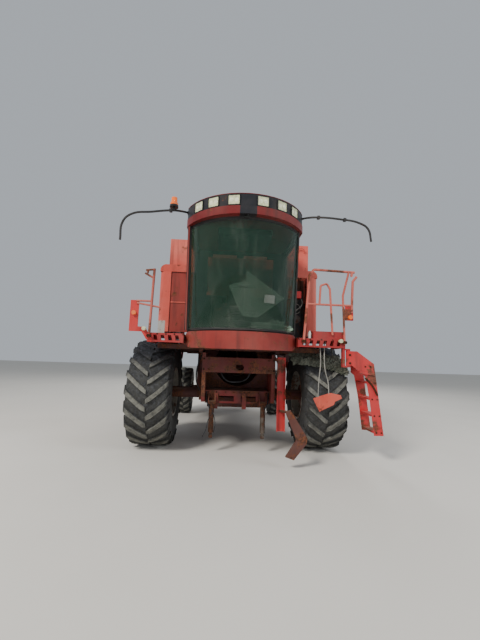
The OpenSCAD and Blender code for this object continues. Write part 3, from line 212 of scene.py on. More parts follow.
def aged(finish, colour, rough, rust, dust, depth=0.004, **constants):
    """Lays streaks, rust and dust on a colour, as years outside do"""
    streaks = finish.ramp(finish.noise(7, 4, 0.6, (1, 1, 0.1)), 0.48, 0.72)
    colour = finish.mix(streaks * 0.45, colour, GRIME)
    blotches = finish.noise(3.1, 8, 0.66)
    pits = finish.noise(38, 3, 0.6)
    eaten = finish.ramp(blotches + pits * 0.12, 0.68 - rust * 0.25, 0.74 - rust * 0.25)
    colour = finish.mix(eaten * 0.9, colour, finish.mix(finish.ramp(pits, 0.4, 0.62), DARK_RUST, RUST))
    lying = finish.ramp(finish.up, 0.35, 0.9) * finish.ramp(finish.noise(4.3, 4, 0.6), 0.25, 0.6)
    film = finish.ramp(finish.noise(1.7, 5, 0.6), 0.3, 0.8) * 0.35
    colour = finish.mix((lying * 0.8 + film) * dust, colour, DUST)
    dents = finish.noise(2.4, 2) * 0.8 + pits * (eaten * 0.5 + 0.05)
    dull = eaten * 0.3 + lying * 0.2 + finish.noise(11, 3) * 0.16 + (rough - 0.08)
    return finish.surface(colour, dull, dents, depth, **constants)


def enamel(name, paint, faded, rust=0.3, dust=0.5, rough=0.45, areas=(), low=None):
    """Weathered paint. areas lists (box of the machine, colour) for the parts of a node that have another
    colour, and low is the height below which road dust covers the paint."""
    finish = Finish(name)
    colour = finish.mix(finish.ramp(finish.noise(0.9, 5, 0.6), 0.36, 0.66), paint, faded)
    for box, other in areas:
        colour = finish.mix(finish.within(**box), colour, other)
    if low:
        dirty = finish.ramp(finish.noise(2.2, 4) * 0.5 - finish.z + low, 0.1, 0.6)
        colour = finish.mix(dirty * 0.65, colour, DUST)
    return aged(finish, colour, rough, rust, dust)


def bare_metal(name, light, dark, rust, rough=0.42):
    finish = Finish(name)
    colour = finish.mix(finish.ramp(finish.noise(6, 5, 0.6), 0.35, 0.65), light, dark)
    return aged(finish, colour, rough, rust, 0.5, Metallic=0.7)


def rubber(name, clean, dust_and_shade_height, wheels=()):
    """Rubber that road dust has turned grey up to a height; above that height the clean dark rubber is painted
    shade under the decks. wheels lists the tyres whose bars are dusty and whose grooves are kept dark as painted
    shade between the bars."""
    finish = Finish(name)
    cracks = finish.noise(26, 6, 0.7)
    colour = finish.mix(finish.ramp(cracks, 0.42, 0.7), clean, srgb(58, 60, 66))
    edge = finish.noise(3.2, 5, 0.65) * 0.7 - finish.z
    # Dust below the given height; above it the clean dark rubber is painted shade
    dust_less_shade = finish.ramp(edge + dust_and_shade_height, 0.1, 0.55)
    # Painted shade: dust is taken off the grooves between the bars so that they stay dark
    for tyre in wheels:
        far = finish.math("POWER", finish.y - tyre.axle_y, 2.0) + finish.math("POWER", finish.z - tyre.radius, 2.0)
        groove = tyre.radius - tyre.bar_height + 0.004
        bar = finish.ramp(finish.math("POWER", far, 0.5), groove, groove + 0.024)
        round_it = finish.within(y=(tyre.axle_y - 1.0, tyre.axle_y + 1.0))
        dust_less_shade = dust_less_shade * (1 - round_it * (1 - bar) * 0.8)
    clods = finish.ramp(finish.noise(14, 5, 0.7), 0.30, 0.62)
    colour = finish.mix(dust_less_shade * (clods * 0.6 + 0.35), colour, srgb(116, 115, 107))
    height = cracks * 0.6 + finish.noise(70, 2) * 0.3
    return finish.surface(colour, dust_less_shade * 0.12 + cracks * 0.15 + 0.68, height, 0.0025)


def tinted_glass(name, tint, clear, dirt):
    """Green cab glass, with wiped and rain-spotted dirt"""
    finish = Finish(name)
    runs = finish.ramp(finish.noise(5, 5, 0.65, (1, 1, 0.25)), 0.45, 0.75)
    spots = finish.ramp(finish.noise(60, 3, 0.6), 0.58, 0.7)
    film = (runs * 0.5 + spots * 0.08) * dirt
    colour = finish.mix(film, tint, srgb(120, 124, 112))
    return finish.surface(colour, film * 0.4 + 0.04, Alpha=film * 0.5 + (1 - clear), Coat_Weight=0.5)


def plastic(name, colour, worn, rough=0.6, dust=0.4):
    finish = Finish(name)
    grain = finish.noise(120, 2)
    tone = finish.mix(finish.ramp(finish.noise(5, 4, 0.6), 0.35, 0.7), colour, worn)
    lying = finish.ramp(finish.up, 0.3, 0.9) * finish.ramp(finish.noise(6, 4), 0.3, 0.65)
    tone = finish.mix(lying * dust, tone, DUST)
    return finish.surface(tone, lying * 0.2 + grain * 0.1 + (rough - 0.05), grain, 0.0008)


def lens(name, colour, painted_glow=0.0, areas=()):
    """Ribbed lamp glass over its reflector; areas lists (box, colour) for the coloured lenses. The glow is painted
    light, as the lamps are not lit.
    """
    finish = Finish(name)
    ribs = finish.node("TexWave", {"wave_type": "BANDS", "bands_direction": "X"},
                       {"Vector": finish.place, "Scale": 45.0, "Distortion": 0.4})
    for box, other in areas:
        colour = finish.mix(finish.within(**box), colour, other)
    tone = finish.mix(finish.ramp(finish.noise(20, 3), 0.4, 0.7) * 0.4, colour, srgb(120, 112, 100))
    return finish.surface(tone, ribs * 0.1 + 0.12, ribs, 0.001, Coat_Weight=0.6, Emission_Strength=painted_glow,
                          Emission_Color=tone)


def cloth(name, colour, worn):
    """Woven seat cloth, grey with dust on the crown"""
    finish = Finish(name)
    weave = finish.node("TexWave", {"wave_type": "BANDS", "bands_direction": "DIAGONAL"},
                        {"Vector": finish.place, "Scale": 190.0, "Distortion": 1.5})
    tone = finish.mix(finish.ramp(finish.noise(7, 5, 0.6), 0.35, 0.7), colour, worn)
    tone = finish.mix(finish.ramp(finish.up, 0.4, 1.0) * 0.35, tone, DUST)
    return finish.surface(tone, 0.9, weave * 0.5 + finish.noise(40, 3), 0.0012, Sheen_Weight=0.25)


# ---------------------------------------------------------------- shapes


def place_of(centre, turn=(0, 0, 0), size=(1, 1, 1)):
    """A matrix that scales, turns in degrees about X, Y and Z, and moves"""
    x, y, z = (radians(angle) for angle in turn)
    turned = Matrix.Rotation(z, 4, "Z") @ Matrix.Rotation(y, 4, "Y") @ Matrix.Rotation(x, 4, "X")
    return Matrix.Translation(centre) @ turned @ Matrix.Diagonal((*size, 1))


def merge(bm, part):
    """Adds a part, finished in a bmesh of its own, to bm"""
    mesh = bpy.data.meshes.new("part")
    part.to_mesh(mesh)
    part.free()
    bm.from_mesh(mesh)
    bpy.data.meshes.remove(mesh)


def block(bm, low, high, turn=(0, 0, 0), bevel=0.0):
    """A box between two corners, turned about its middle, with its edges rounded"""
    low, high = Vector(low), Vector(high)
    made = bmesh.ops.create_cube(bm, size=1, matrix=place_of((low + high) / 2, turn, high - low))
    if bevel:
        edges = list({edge for vert in made["verts"] for edge in vert.link_edges})
        bmesh.ops.bevel(bm, geom=edges, offset=bevel, segments=2, profile=0.5, affect="EDGES", material=-1)


def rod(bm, start, end, radius, sides=16, end_radius=None):
    """A round bar or cone between two points"""
    start, end = Vector(start), Vector(end)
    along = end - start
    turn = along.to_track_quat("Z", "Y").to_matrix().to_4x4()
    bmesh.ops.create_cone(bm, cap_ends=True, segments=sides, radius1=radius, depth=along.length,
                          radius2=radius if end_radius is None else end_radius,
                          matrix=Matrix.Translation((start + end) / 2) @ turn)


def evenly(start, step, count):
    """Places in a row"""
    return [start + number * step for number in range(count)]


def circle_angles(count):
    """Even steps once round"""
    return [2 * pi * number / count for number in range(count)]


def bolts(bm, places, way, size=0.012, height=0.009):
    """Hexagon heads on their washers, standing along way"""
    way = Vector(way).normalized()
    for place in places:
        place = Vector(place)
        rod(bm, place - way * 0.001, place + way * 0.002, size * 1.35, 14)
        rod(bm, place, place + way * height, size, 6)


def lathe(bm, profile, centre, axis="X", steps=64):
    """Turns a profile of (place along the axis, radius) once round. It starts and ends on the axis, or it is
    closed."""
    spots = {"X": lambda a, r: (a, r, 0), "Y": lambda a, r: (r, a, 0), "Z": lambda a, r: (r, 0, a)}
    way = {"X": (1, 0, 0), "Y": (0, 1, 0), "Z": (0, 0, 1)}[axis]
    centre = Vector(centre)
    part = bmesh.new()
    verts = [part.verts.new(centre + Vector(spots[axis](a, r))) for a, r in profile]
    edges = [part.edges.new(pair) for pair in zip(verts, verts[1:])]
    if profile[0][1] > 0:
        edges.append(part.edges.new((verts[-1], verts[0])))
    bmesh.ops.spin(part, geom=verts + edges, cent=centre, axis=way, angle=2 * pi, steps=steps, use_merge=True)
    bmesh.ops.remove_doubles(part, verts=part.verts, dist=1e-5)
    bmesh.ops.recalc_face_normals(part, faces=part.faces)
    merge(bm, part)


def plate(bm, outline, flat, low, high):
    """An outline as a plate: flat is the axis it is thin along, from low to high"""
    order = {"X": lambda u, v: (low, u, v), "Y": lambda u, v: (u, low, v), "Z": lambda u, v: (u, v, low)}[flat]
    part = bmesh.new()
    face = part.faces.new([part.verts.new(order(u, v)) for u, v in outline])
    made = bmesh.ops.extrude_face_region(part, geom=[face], use_keep_orig=True)
    way = {"X": (1, 0, 0), "Y": (0, 1, 0), "Z": (0, 0, 1)}[flat]
    moved = [item for item in made["geom"] if isinstance(item, bmesh.types.BMVert)]
    bmesh.ops.translate(part, verts=moved, vec=Vector(way) * (high - low))
    bmesh.ops.recalc_face_normals(part, faces=part.faces)
    merge(bm, part)


def tube(bm, points, radius, sides=10, smooth=True):
    """A hose, pipe or wire of round section through points"""
    line = bpy.data.curves.new("route", "CURVE")
    line.dimensions = "3D"
    line.bevel_depth = radius
    line.bevel_resolution = max(0, sides // 4)
    line.resolution_u = 6 if smooth else 1
    line.use_fill_caps = True
    spline = line.splines.new("BEZIER" if smooth else "POLY")
    knots = spline.bezier_points if smooth else spline.points
    knots.add(len(points) - 1)
    for knot, point in zip(knots, points):
        if smooth:
            knot.co = point
            knot.handle_left_type = knot.handle_right_type = "AUTO"
        else:
            knot.co = (*point, 1)
    holder = bpy.data.objects.new("route", line)
    bpy.context.collection.objects.link(holder)
    bpy.context.view_layer.update()
    mesh = bpy.data.meshes.new_from_object(holder.evaluated_get(bpy.context.evaluated_depsgraph_get()))
    part = bmesh.new()
    part.from_mesh(mesh)
    bmesh.ops.remove_doubles(part, verts=part.verts, dist=1e-5)
    merge(bm, part)
    bpy.data.meshes.remove(mesh)
    bpy.data.objects.remove(holder)
    bpy.data.curves.remove(line)


def piece(name, bm, finish, body="chassis", replaces=(), smooth=35):
    """Makes the mesh a piece of the machine that rides on a body; edges sharper than smooth stay sharp"""
    mesh = bpy.data.meshes.new(name)
    bm.to_mesh(mesh)
    bm.free()
    made = bpy.data.objects.new(name, mesh)
    bpy.context.collection.objects.link(made)
    mesh.materials.append(finish)
    mesh.shade_smooth()
    mesh.set_sharp_from_angle(angle=radians(smooth))
    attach(made, body)
    if replaces:
        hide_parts(*replaces)
    return made


# ---------------------------------------------------------------- the machine's finishes

RED, FADED_RED = srgb(128, 30, 28), srgb(146, 48, 42)
# The colour below is the front panels' red as it looks in shade: painted shade
SHADED_PLUM = srgb(116, 46, 44)
SALMON, PALE_SALMON = srgb(192, 78, 66), srgb(204, 104, 90)
BRIGHT_RED = srgb(178, 24, 30)
AMBER, LAMP_RED = srgb(236, 104, 0), srgb(150, 16, 16)
BLACK = srgb(26, 27, 30)
STRIPE_GREY = srgb(150, 152, 154)
BAND_BLACK = srgb(22, 25, 32)
RAIL_SALMON = srgb(182, 92, 80)

# Z is the radius as well as the axle's height, since the tyres stand on the floor. sweep is in degrees.
Tyre = namedtuple("Tyre", "radius axle_y bar_height bars sweep bead")
FRONT_TYRE = Tyre(0.92, 0.0, 0.050, 20, 22, 0.408)
REAR_TYRE = Tyre(0.635, 3.5, 0.036, 18, 16, 0.307)

rail_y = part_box("left_deck")[0].y
deck_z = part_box("cab_base")[1].z - 0.06
roof_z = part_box("cab_roof")[0].z
band_z = (roof_z + 0.1185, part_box("cab_roof")[1].z - 0.0215)

red = enamel("faded_red", RED, FADED_RED)
body_red = enamel("body_red", srgb(136, 40, 36), srgb(158, 58, 50), rust=0.2, dust=0.35,
                  areas=[(dict(z=(2.03, 2.19), y=(0.3, 3.9)), STRIPE_GREY)])
tank_red = enamel("tank_red", srgb(184, 72, 60), srgb(198, 96, 82), 0.15, 0.35)
# Roof: a red darkened as painted shade on the lip; the black band is its own colour
shaded_roof_red = enamel("shaded_roof_red", srgb(92, 20, 22), srgb(112, 34, 34), rust=0.12, dust=0.3, areas=[
    (dict(z=band_z, y=(-3, -0.79)), BAND_BLACK),
    (dict(x=(-0.12, 0.12), y=(-3, -1.6), z=(roof_z - 0.01, band_z[1])), BAND_BLACK)])
# Cab base: a red darkened as painted shade; the black strip is its own colour
shaded_base_red = enamel("shaded_bumper_red", srgb(116, 34, 30), srgb(134, 48, 42), rust=0.25, dust=0.3,
                  areas=[(dict(z=(1.941, 2.1)), BLACK)])
# The two reds below are darkened as painted shade under the machine, on the thresher body, axles, knuckles and main
# frame; the deck grips take the first too
shade_red = enamel("shade_red", srgb(66, 22, 26), srgb(92, 38, 38), rust=0.5, dust=0.45, rough=0.7, low=0.7)
frame_red = enamel("frame_red", srgb(62, 20, 24), srgb(88, 36, 36), rust=0.5, dust=0.45, rough=0.7, low=0.7,
                   areas=[(dict(x=(0.68, 1.4), y=(4.19, 4.6), z=(1.2, 1.75)), BLACK)])
throat_red = enamel("throat_red", srgb(92, 20, 22), srgb(128, 40, 36), rust=0.55, dust=0.4, rough=0.6, low=0.6)
bright_red = enamel("bright_red", BRIGHT_RED, srgb(186, 44, 46), rust=0.35, dust=0.35, rough=0.4)
orange_red = enamel("orange_red", srgb(184, 62, 46), srgb(196, 86, 68), rust=0.35, dust=0.3, rough=0.5)
salmon = enamel("salmon", SALMON, PALE_SALMON, rust=0.12, dust=0.25)
# Front panels: salmon paint on the columns; the plum inner panels and the darker panel on the machine's right are
# painted shade
panel_paint_and_shade = enamel("panel_paint_and_shade", SALMON, PALE_SALMON, rust=0.12, dust=0.25,
                   areas=[(dict(x=(-1.311, 1.311)), SHADED_PLUM), (dict(x=(-1.311, 0)), srgb(140, 54, 48))])
strip_red = enamel("strip_red", srgb(222, 112, 104), srgb(230, 146, 134), rust=0.1, dust=0.2)
post_cover = enamel("post_cover", srgb(118, 40, 38), srgb(140, 62, 54), rust=0.15, dust=0.3)
left_deck_red = enamel("left_deck_red", srgb(140, 26, 30), srgb(158, 42, 44), rust=0.3, dust=0.4, areas=[
    (dict(y=(rail_y - 0.01, rail_y + 0.030)), RAIL_SALMON),
    (dict(x=(1.59, 1.80), z=(2.19, 2.45), y=(rail_y + 0.014, rail_y + 0.026)), BRIGHT_RED)])
right_deck_red = enamel("right_deck_red", srgb(138, 24, 28), srgb(160, 42, 44), rust=0.3, dust=0.4, areas=[
    (dict(y=(rail_y - 0.01, rail_y + 0.030), z=(1.90, 3.2)), RAIL_SALMON),
    (dict(x=(-1.73, -1.37), z=(1.7, 2.42), y=(rail_y + 0.026, rail_y + 0.0425)), srgb(182, 40, 40)),
    (dict(x=(-1.30, -1.17), z=(deck_z + 0.001, 2.2)), srgb(150, 146, 140))])
# Dust greys the tyres up to 1.35 m; the dark rubber above is painted shade under the decks, and the dark grooves
# are painted shade
tread = rubber("tread_rubber", srgb(27, 28, 30), 1.35, (FRONT_TYRE, REAR_TYRE))
hose_rubber = rubber("hose_rubber", srgb(22, 22, 24), 0.0)
rim_paint = enamel("rim_paint", srgb(140, 138, 132), srgb(168, 164, 156), rust=0.45, dust=0.6, rough=0.5)
steel = bare_metal("worn_steel", srgb(110, 102, 94), srgb(72, 60, 54), 0.6)
rusty_bolts = bare_metal("rusty_bolts", srgb(92, 74, 62), srgb(58, 40, 32), 0.9, 0.6)
exhaust_rust = bare_metal("exhaust_rust", srgb(96, 70, 54), srgb(64, 44, 34), 1.2, 0.6)
grey_wire = plastic("grey_wire", srgb(120, 118, 112), srgb(150, 146, 138), 0.5, 0.3)
brown_guard = enamel("brown_guard", srgb(72, 34, 30), srgb(86, 50, 44), rust=0.6, dust=0.3, rough=0.7)
# In the open bay, the black sheet at y 0.166 to 0.186 and the black and dark maroon layers behind it are painted
# shade deep in the bay
drives = enamel("drive_parts", srgb(104, 100, 96), srgb(80, 70, 64), rust=0.45, dust=0.4, areas=[
    (dict(y=(0.166, 0.186), x=(0.9, 1.4), z=(2.0, 3.2)), BLACK), (dict(x=(0.639, 0.654), z=(0.9, 1.8)), BLACK),
    (dict(y=(0.205, 0.2325), x=(0.93, 1.35)), BLACK), (dict(y=(0.2325, 0.3)), srgb(72, 26, 32))])
cast = enamel("engine_cast", srgb(66, 64, 62), srgb(84, 78, 70), rust=0.4, dust=0.8, rough=0.7)
screen_glass = tinted_glass("screen_glass", srgb(28, 58, 44), 0.62, 0.4)
loose_sheet = tinted_glass("loose_sheet", srgb(170, 196, 172), 0.80, 0.7)
black_paint = enamel("black_paint", srgb(24, 25, 28), srgb(44, 44, 46), rust=0.12, dust=0.3)
black_plastic = plastic("black_plastic", srgb(30, 31, 33), srgb(52, 52, 52))
hole_shade = plastic("hole_shade", srgb(8, 8, 8), srgb(14, 14, 14), 0.9, 0.0)
blank_card = plastic("blank_card", srgb(214, 214, 208), srgb(190, 190, 182), 0.6, 0.3)
# The lenses and the bulb bowls glow a little: painted light on lamps that are not lit
clear_lens = lens("clear_lens", srgb(196, 200, 160), 0.10, [
    (dict(x=(-1.2, -1.04), z=(3.7, 4.2)), AMBER), (dict(x=(-1.8, -1.57), z=(2.1, 2.3)), AMBER),
    (dict(x=(1.65, 1.8), z=(2.1, 2.3)), AMBER), (dict(y=(4.0, 4.4), z=(2.62, 2.8)), LAMP_RED),
    (dict(y=(4.0, 4.4), z=(2.4, 2.62)), AMBER)])
bowl_lens = lens("bowl_lens", srgb(216, 218, 190), 0.14)
straw_mat = plastic("straw_mat", srgb(62, 64, 54), srgb(104, 108, 98), 0.95, 0.5)
seat_cloth = cloth("seat_cloth", srgb(52, 53, 56), srgb(70, 68, 64))

# Which finish each kept CAD node takes
NODE_FINISHES = (
    (red, ("unloading_auger", "rear_hood")),
    (body_red, ("side_door_left", "side_door_right")),
    (tank_red, ("grain_tank", "engine_hood")),
    (shaded_roof_red, ("cab_roof",)),
    (shaded_base_red, ("cab_base",)),
    (shade_red, ("thresher_body", "front_axle", "rear_axle", "knuckle_left", "knuckle_right")),
    (frame_red, ("main_frame",)),
    (throat_red, ("throat",)),
    (bright_red, ("safety_channel", "ladder")),
    (salmon, ("tank_extension",)),
    (panel_paint_and_shade, ("front_panels",)),
    (left_deck_red, ("left_deck",)),
    (right_deck_red, ("right_deck",)),
    (rim_paint, ("front_rim_left", "front_rim_right", "rear_rim_left", "rear_rim_right")),
    (steel, ("rotor", "chopper_rotor", "tie_rod", "lift_cylinder_left", "lift_cylinder_right")),
    (drives, ("drive_bay",)),
    (cast, ("engine",)),
    (screen_glass, ("cab_glass", "door_glass")),
    (black_paint, ("cab_frame", "cab_door")),
    (black_plastic, ("driver_controls", "air_screen")),
    (clear_lens, ("lamps",)),
)


def dress_nodes():
    for finish, names in NODE_FINISHES:
        for name in names:
            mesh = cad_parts[name].data
            mesh.materials.clear()
            mesh.materials.append(finish)


# ---------------------------------------------------------------- wheels

# The path of one tread bar from the middle of the tyre to its shoulder. Columns: place along it, share of half
# the width at the tip and at the root, fall of the tip and of the root in metres, half its thickness
LUG_PATH = (
    (0.00, 0.015, 0.015, 0.011, 0.000, 0.029),
    (0.10, 0.11, 0.11, 0.0065, 0.000, 0.035),
    (0.60, 0.62, 0.61, 0.011, 0.008, 0.038),
    (0.82, 0.88, 0.86, 0.024, 0.022, 0.041),
    (0.91, 0.95, 0.905, 0.056, 0.045, 0.043),
    (1.00, 0.995, 0.94, 0.142, 0.105, 0.040),
)
# The casing from its middle to its bead. Columns: share of half the width, share of the wall's height from the
# rim to the root of the tread
CASING = ((0.0, 1.0), (0.45, 0.99), (0.72, 0.97), (0.86, 0.935), (0.915, 0.86), (0.935, 0.77), (0.962, 0.62),
          (0.968, 0.46), (0.958, 0.30), (0.962, 0.27), (0.945, 0.20), (0.90, 0.09), (0.84, 0.012))


def row_at(table, place):
    """The row of a table at a place between its rows, which its first column gives"""
    for low, high in zip(table, table[1:]):
        if place <= high[0]:
            share = (place - low[0]) / (high[0] - low[0])
            return [a + (b - a) * share for a, b in zip(low, high)]
    return table[-1]


def tread_bar(bm, tyre, centre, side, turn, half_width, ragged):
    """One bar of the tread: a box cut along its length, bent onto the casing, with its outer edges rounded"""
    bar = bmesh.new()
    bmesh.ops.create_cube(bar, size=1)
    long_edges = [edge for edge in bar.edges if abs(edge.verts[0].co.x - edge.verts[1].co.x) > 0.5]
    bmesh.ops.subdivide_edges(bar, edges=long_edges, cuts=7)
    crown = [edge for edge in bar.edges if all(end.co.z > 0.4 for end in edge.verts) and
             (edge.verts[0].co.y * edge.verts[1].co.y > 0 or all(abs(end.co.x) > 0.49 for end in edge.verts))]
    for vert in bar.verts:
        along, across, up = vert.co.x + 0.5, vert.co.y * 2, vert.co.z + 0.5
        _, tip, root, tip_fall, root_fall, half = row_at(LUG_PATH, along)
        worn = ragged * max(0.0, noise.noise(Vector((turn * 4, along * 3 + side, up))) + 0.1)
        fall = tip_fall + worn * tyre.bar_height if up > 0.5 else tyre.bar_height + root_fall + 0.008
        reach = tyre.radius - fall
        angle = turn + radians(tyre.sweep) * (0.7 * along + 0.3 * along * along)
        angle += across * (half + 0.010 * (1 - up)) / reach
        out = side * half_width * (tip if up > 0.5 else root)
        vert.co = centre + Vector((out, -reach * cos(angle), reach * sin(angle)))
    bmesh.ops.bevel(bar, geom=crown, offset=0.006, segments=1, profile=0.5, affect="EDGES", material=-1)
    bmesh.ops.recalc_face_normals(bar, faces=bar.faces)
    merge(bm, bar)


def detailed_tyre(node, body, tyre, ragged=0.0):
    """The casing with its bars; the bars of the right tyres are the mirror image"""
    low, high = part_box(node)
    centre = (low + high) / 2
    centre.z = tyre.radius
    half_width = (high.x - low.x) / 2
    wall_height = tyre.radius - tyre.bar_height - tyre.bead
    mirror = 1 if centre.x > 0 else -1
    bm = bmesh.new()
    half = [(share * half_width, tyre.bead + wall * wall_height) for share, wall in CASING]
    lathe(bm, [(-a, r) for a, r in reversed(half)] + half[1:], centre, "X", 96)
    for side in (-1, 1):
        for number in range(tyre.bars):
            turn = (number + mirror * side / 4) * 2 * pi / tyre.bars
            tread_bar(bm, tyre, centre, side, turn, half_width * 0.999, ragged)
    piece(node + "_tread", bm, tread, body, (node,), 30)


def wheel_nuts(node, body, count, circle, face, cap_face, cap_radius):
    """Nuts round the hub, the hub's cap and the valve, on a wheel's outer side"""
    low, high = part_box(node)
    centre = (low + high) / 2
    out = 1 if centre.x > 0 else -1
    bm = bmesh.new()
    bolts(bm, [(centre.x + out * face, centre.y + circle * cos(a), centre.z + circle * sin(a))
               for a in circle_angles(count)], (out, 0, 0), 0.017, 0.024)
    cap = centre + Vector((out * cap_face, 0, 0))
    rod(bm, cap, cap + Vector((out * 0.030, 0, 0)), cap_radius, 32, cap_radius * 0.86)
    valve = centre + Vector((out * (face + 0.03), 0, -(high.z - low.z) / 2 + 0.075))
    rod(bm, valve, valve + Vector((out * 0.045, 0, 0.02)), 0.007, 10)
    piece(node + "_nuts", bm, rusty_bolts, body)


for side, ragged in (("left", 0.75), ("right", 0.15)):
    detailed_tyre("front_tyre_" + side, "front_wheel_" + side, FRONT_TYRE, ragged)
    detailed_tyre("rear_tyre_" + side, "rear_wheel_" + side, REAR_TYRE)
    wheel_nuts("front_rim_" + side, "front_wheel_" + side, 10, 0.20, 0.101, 0.159, 0.105)
    wheel_nuts("rear_rim_" + side, "rear_wheel_" + side, 8, 0.125, 0.051, 0.099, 0.055)


# ---------------------------------------------------------------- roof and cab

roof_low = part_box("cab_roof")[0]
apex_y = roof_low.y + 0.010
SCREEN_RADIUS = 1.0
SCREEN_FOOT_Y = -1.42
SCREEN_LEAN = radians(9)
LAMP_ANGLES = (-46, -30, -12, 12, 30, 46)
floor_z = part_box("cab_frame")[0].z
lamp_foot, lamp_top = band_z[0] + 0.02, band_z[1] - 0.025


def turned_part(bm, angle, make):
    """Adds what make builds, turned about the roof's middle line as the CAD turns its lamps"""
    part = bmesh.new()
    make(part)
    turn = Matrix.Translation((0, apex_y + SCREEN_RADIUS, 0)) @ Matrix.Rotation(radians(angle), 4, "Z")
    bmesh.ops.transform(part, matrix=turn, verts=part.verts)
    merge(bm, part)


def bezel(part):
    face = (-SCREEN_RADIUS - 0.007, -SCREEN_RADIUS + 0.004)
    for x in (-0.092, 0.078):
        block(part, (x, face[0], lamp_foot - 0.012), (x + 0.014, face[1], lamp_top + 0.012), bevel=0.003)
    for z in (lamp_foot - 0.013, lamp_top - 0.001):
        block(part, (-0.080, face[0], z), (0.080, face[1], z + 0.014), bevel=0.003)
    for x, z in ((-0.085, lamp_foot), (0.085, lamp_foot), (-0.085, lamp_top), (0.085, lamp_top)):
        rod(part, (x, face[0] - 0.002, z), (x, face[0] + 0.004, z), 0.004, 8)


def bulb_bowls(part):
    for x in (-0.038, 0.038):
        lathe(part, [(-0.004, 0.0), (-0.003, 0.016), (0.0015, 0.030), (0.0015, 0.0335), (0.004, 0.034),
                     (0.004, 0.0)], (x, -SCREEN_RADIUS - 0.0035, (lamp_foot + lamp_top) / 2), "Y", 24)


bezels, bowls = bmesh.new(), bmesh.new()
for angle in LAMP_ANGLES:
    turned_part(bezels, angle, bezel)
    turned_part(bowls, angle, bulb_bowls)
piece("lamp_bezels", bezels, black_plastic)
piece("lamp_bowls", bowls, bowl_lens)

# Rubber seals round the windscreen and the side glass, and the catch below the roof's lip
bm = bmesh.new()
seal_radius = SCREEN_RADIUS + 0.004
for height in (floor_z + 0.022, roof_low.z - 0.034):
    middle_y = SCREEN_FOOT_Y - (height - floor_z) * tan(SCREEN_LEAN) + SCREEN_RADIUS
    tube(bm, [(sin(a) * seal_radius, middle_y - cos(a) * seal_radius, height)
              for a in (radians(step) for step in range(-56, 57, 8))], 0.009, 8)
for x in (-0.838, 0.838):
    tube(bm, [(x, -0.972, floor_z + 0.03), (x, -1.222, roof_low.z - 0.03)], 0.010, 8, False)
rod(bm, (0, apex_y + 0.06, roof_low.z - 0.016), (0, apex_y + 0.06, roof_low.z), 0.026, 20)
block(bm, (-0.055, apex_y + 0.045, roof_low.z - 0.030), (0.03, apex_y + 0.075, roof_low.z - 0.012), bevel=0.004)
piece("screen_seals", bm, black_plastic)

# The hose and the plum-red cover on the cab's right front post
bm = bmesh.new()
tube(bm, [(-0.887, -1.19, roof_low.z - 0.004), (-0.889, -1.12, 3.1), (-0.884, -1.03, 2.5), (-0.888, -0.975, 1.96)],
     0.011)
piece("post_hoses", bm, black_plastic)

bm = bmesh.new()
block(bm, (-0.883, -0.035, -0.80), (-0.861, 0.035, 0.80), bevel=0.004)
post_turn = Matrix.Translation((0, -1.098, (floor_z + roof_low.z) / 2)) @ Matrix.Rotation(SCREEN_LEAN, 4, "X")
bmesh.ops.transform(bm, matrix=post_turn, verts=bm.verts)
piece("post_cover", bm, post_cover)

# Mirror arms, bent in one sweep, with their clamps and the beacon's black base
bm = bmesh.new()
tube(bm, [(-0.90, -1.10, 3.835), (-1.00, -1.22, 3.80), (-1.12, -1.30, 3.77), (-1.44, -1.30, 3.73),
          (-1.76, -1.30, 3.67), (-1.868, -1.30, 3.55), (-1.888, -1.30, 3.26)], 0.017)
tube(bm, [(0.90, -1.10, 3.835), (0.98, -1.22, 3.81), (1.10, -1.30, 3.79), (1.50, -1.30, 3.78),
          (1.80, -1.30, 3.735), (1.935, -1.30, 3.65), (1.985, -1.30, 3.44)], 0.017)
for x, z in ((-0.915, 3.835), (0.915, 3.835)):
    block(bm, (x - 0.012, -1.135, z - 0.032), (x + 0.012, -1.065, z + 0.022), bevel=0.004)
for x, z in ((-1.16, 3.765), (1.14, 3.788), (1.56, 3.775)):
    block(bm, (x - 0.022, -1.325, z - 0.026), (x + 0.022, -1.275, z + 0.026), bevel=0.005)
rod(bm, (-1.115, -1.30, 3.77), (-1.115, -1.30, 3.826), 0.020, 16)
rod(bm, (-1.115, -1.30, 3.818), (-1.115, -1.30, 3.852), 0.068, 28, 0.064)
piece("mirror_arm_tubes", bm, black_paint, replaces=("mirror_arms",))

# What stands and hangs inside the cab
bm = bmesh.new()
block(bm, (-0.42, -1.30, 3.44), (0.42, -0.55, 3.545), bevel=0.02)
block(bm, (-0.34, -1.27, 3.375), (0.06, -1.20, 3.45), bevel=0.01)
rod(bm, (-0.60, -0.78, 2.64), (-0.60, -0.78, 2.70), 0.034, 20)
for x in (-0.77, -0.70, -0.63, -0.56):
    block(bm, (x, -0.60, 2.520), (x + 0.035, -0.52, 2.555), bevel=0.006)
block(bm, (-0.13, -1.22, 2.015), (0.13, -1.06, 2.12), bevel=0.02)
for x in (-0.2, 0.12):
    block(bm, (x, -1.30, 1.985), (x + 0.10, -1.16, 2.03), (18, 0, 0), 0.01)
for x in (-0.74, -0.66):
    rod(bm, (x, -0.40, 2.535), (x, -0.40, 2.615), 0.010, 12)
piece("cab_fittings", bm, black_plastic)

# Two pale red strips on the rear wall, and the loose sheet with its blank card behind the windscreen
bm = bmesh.new()
for low_x, high_x in ((-0.53, -0.08), (0.05, 0.49)):
    block(bm, (low_x, -0.205, 3.42), (high_x, -0.190, 3.475), bevel=0.004)
piece("red_strips", bm, strip_red)

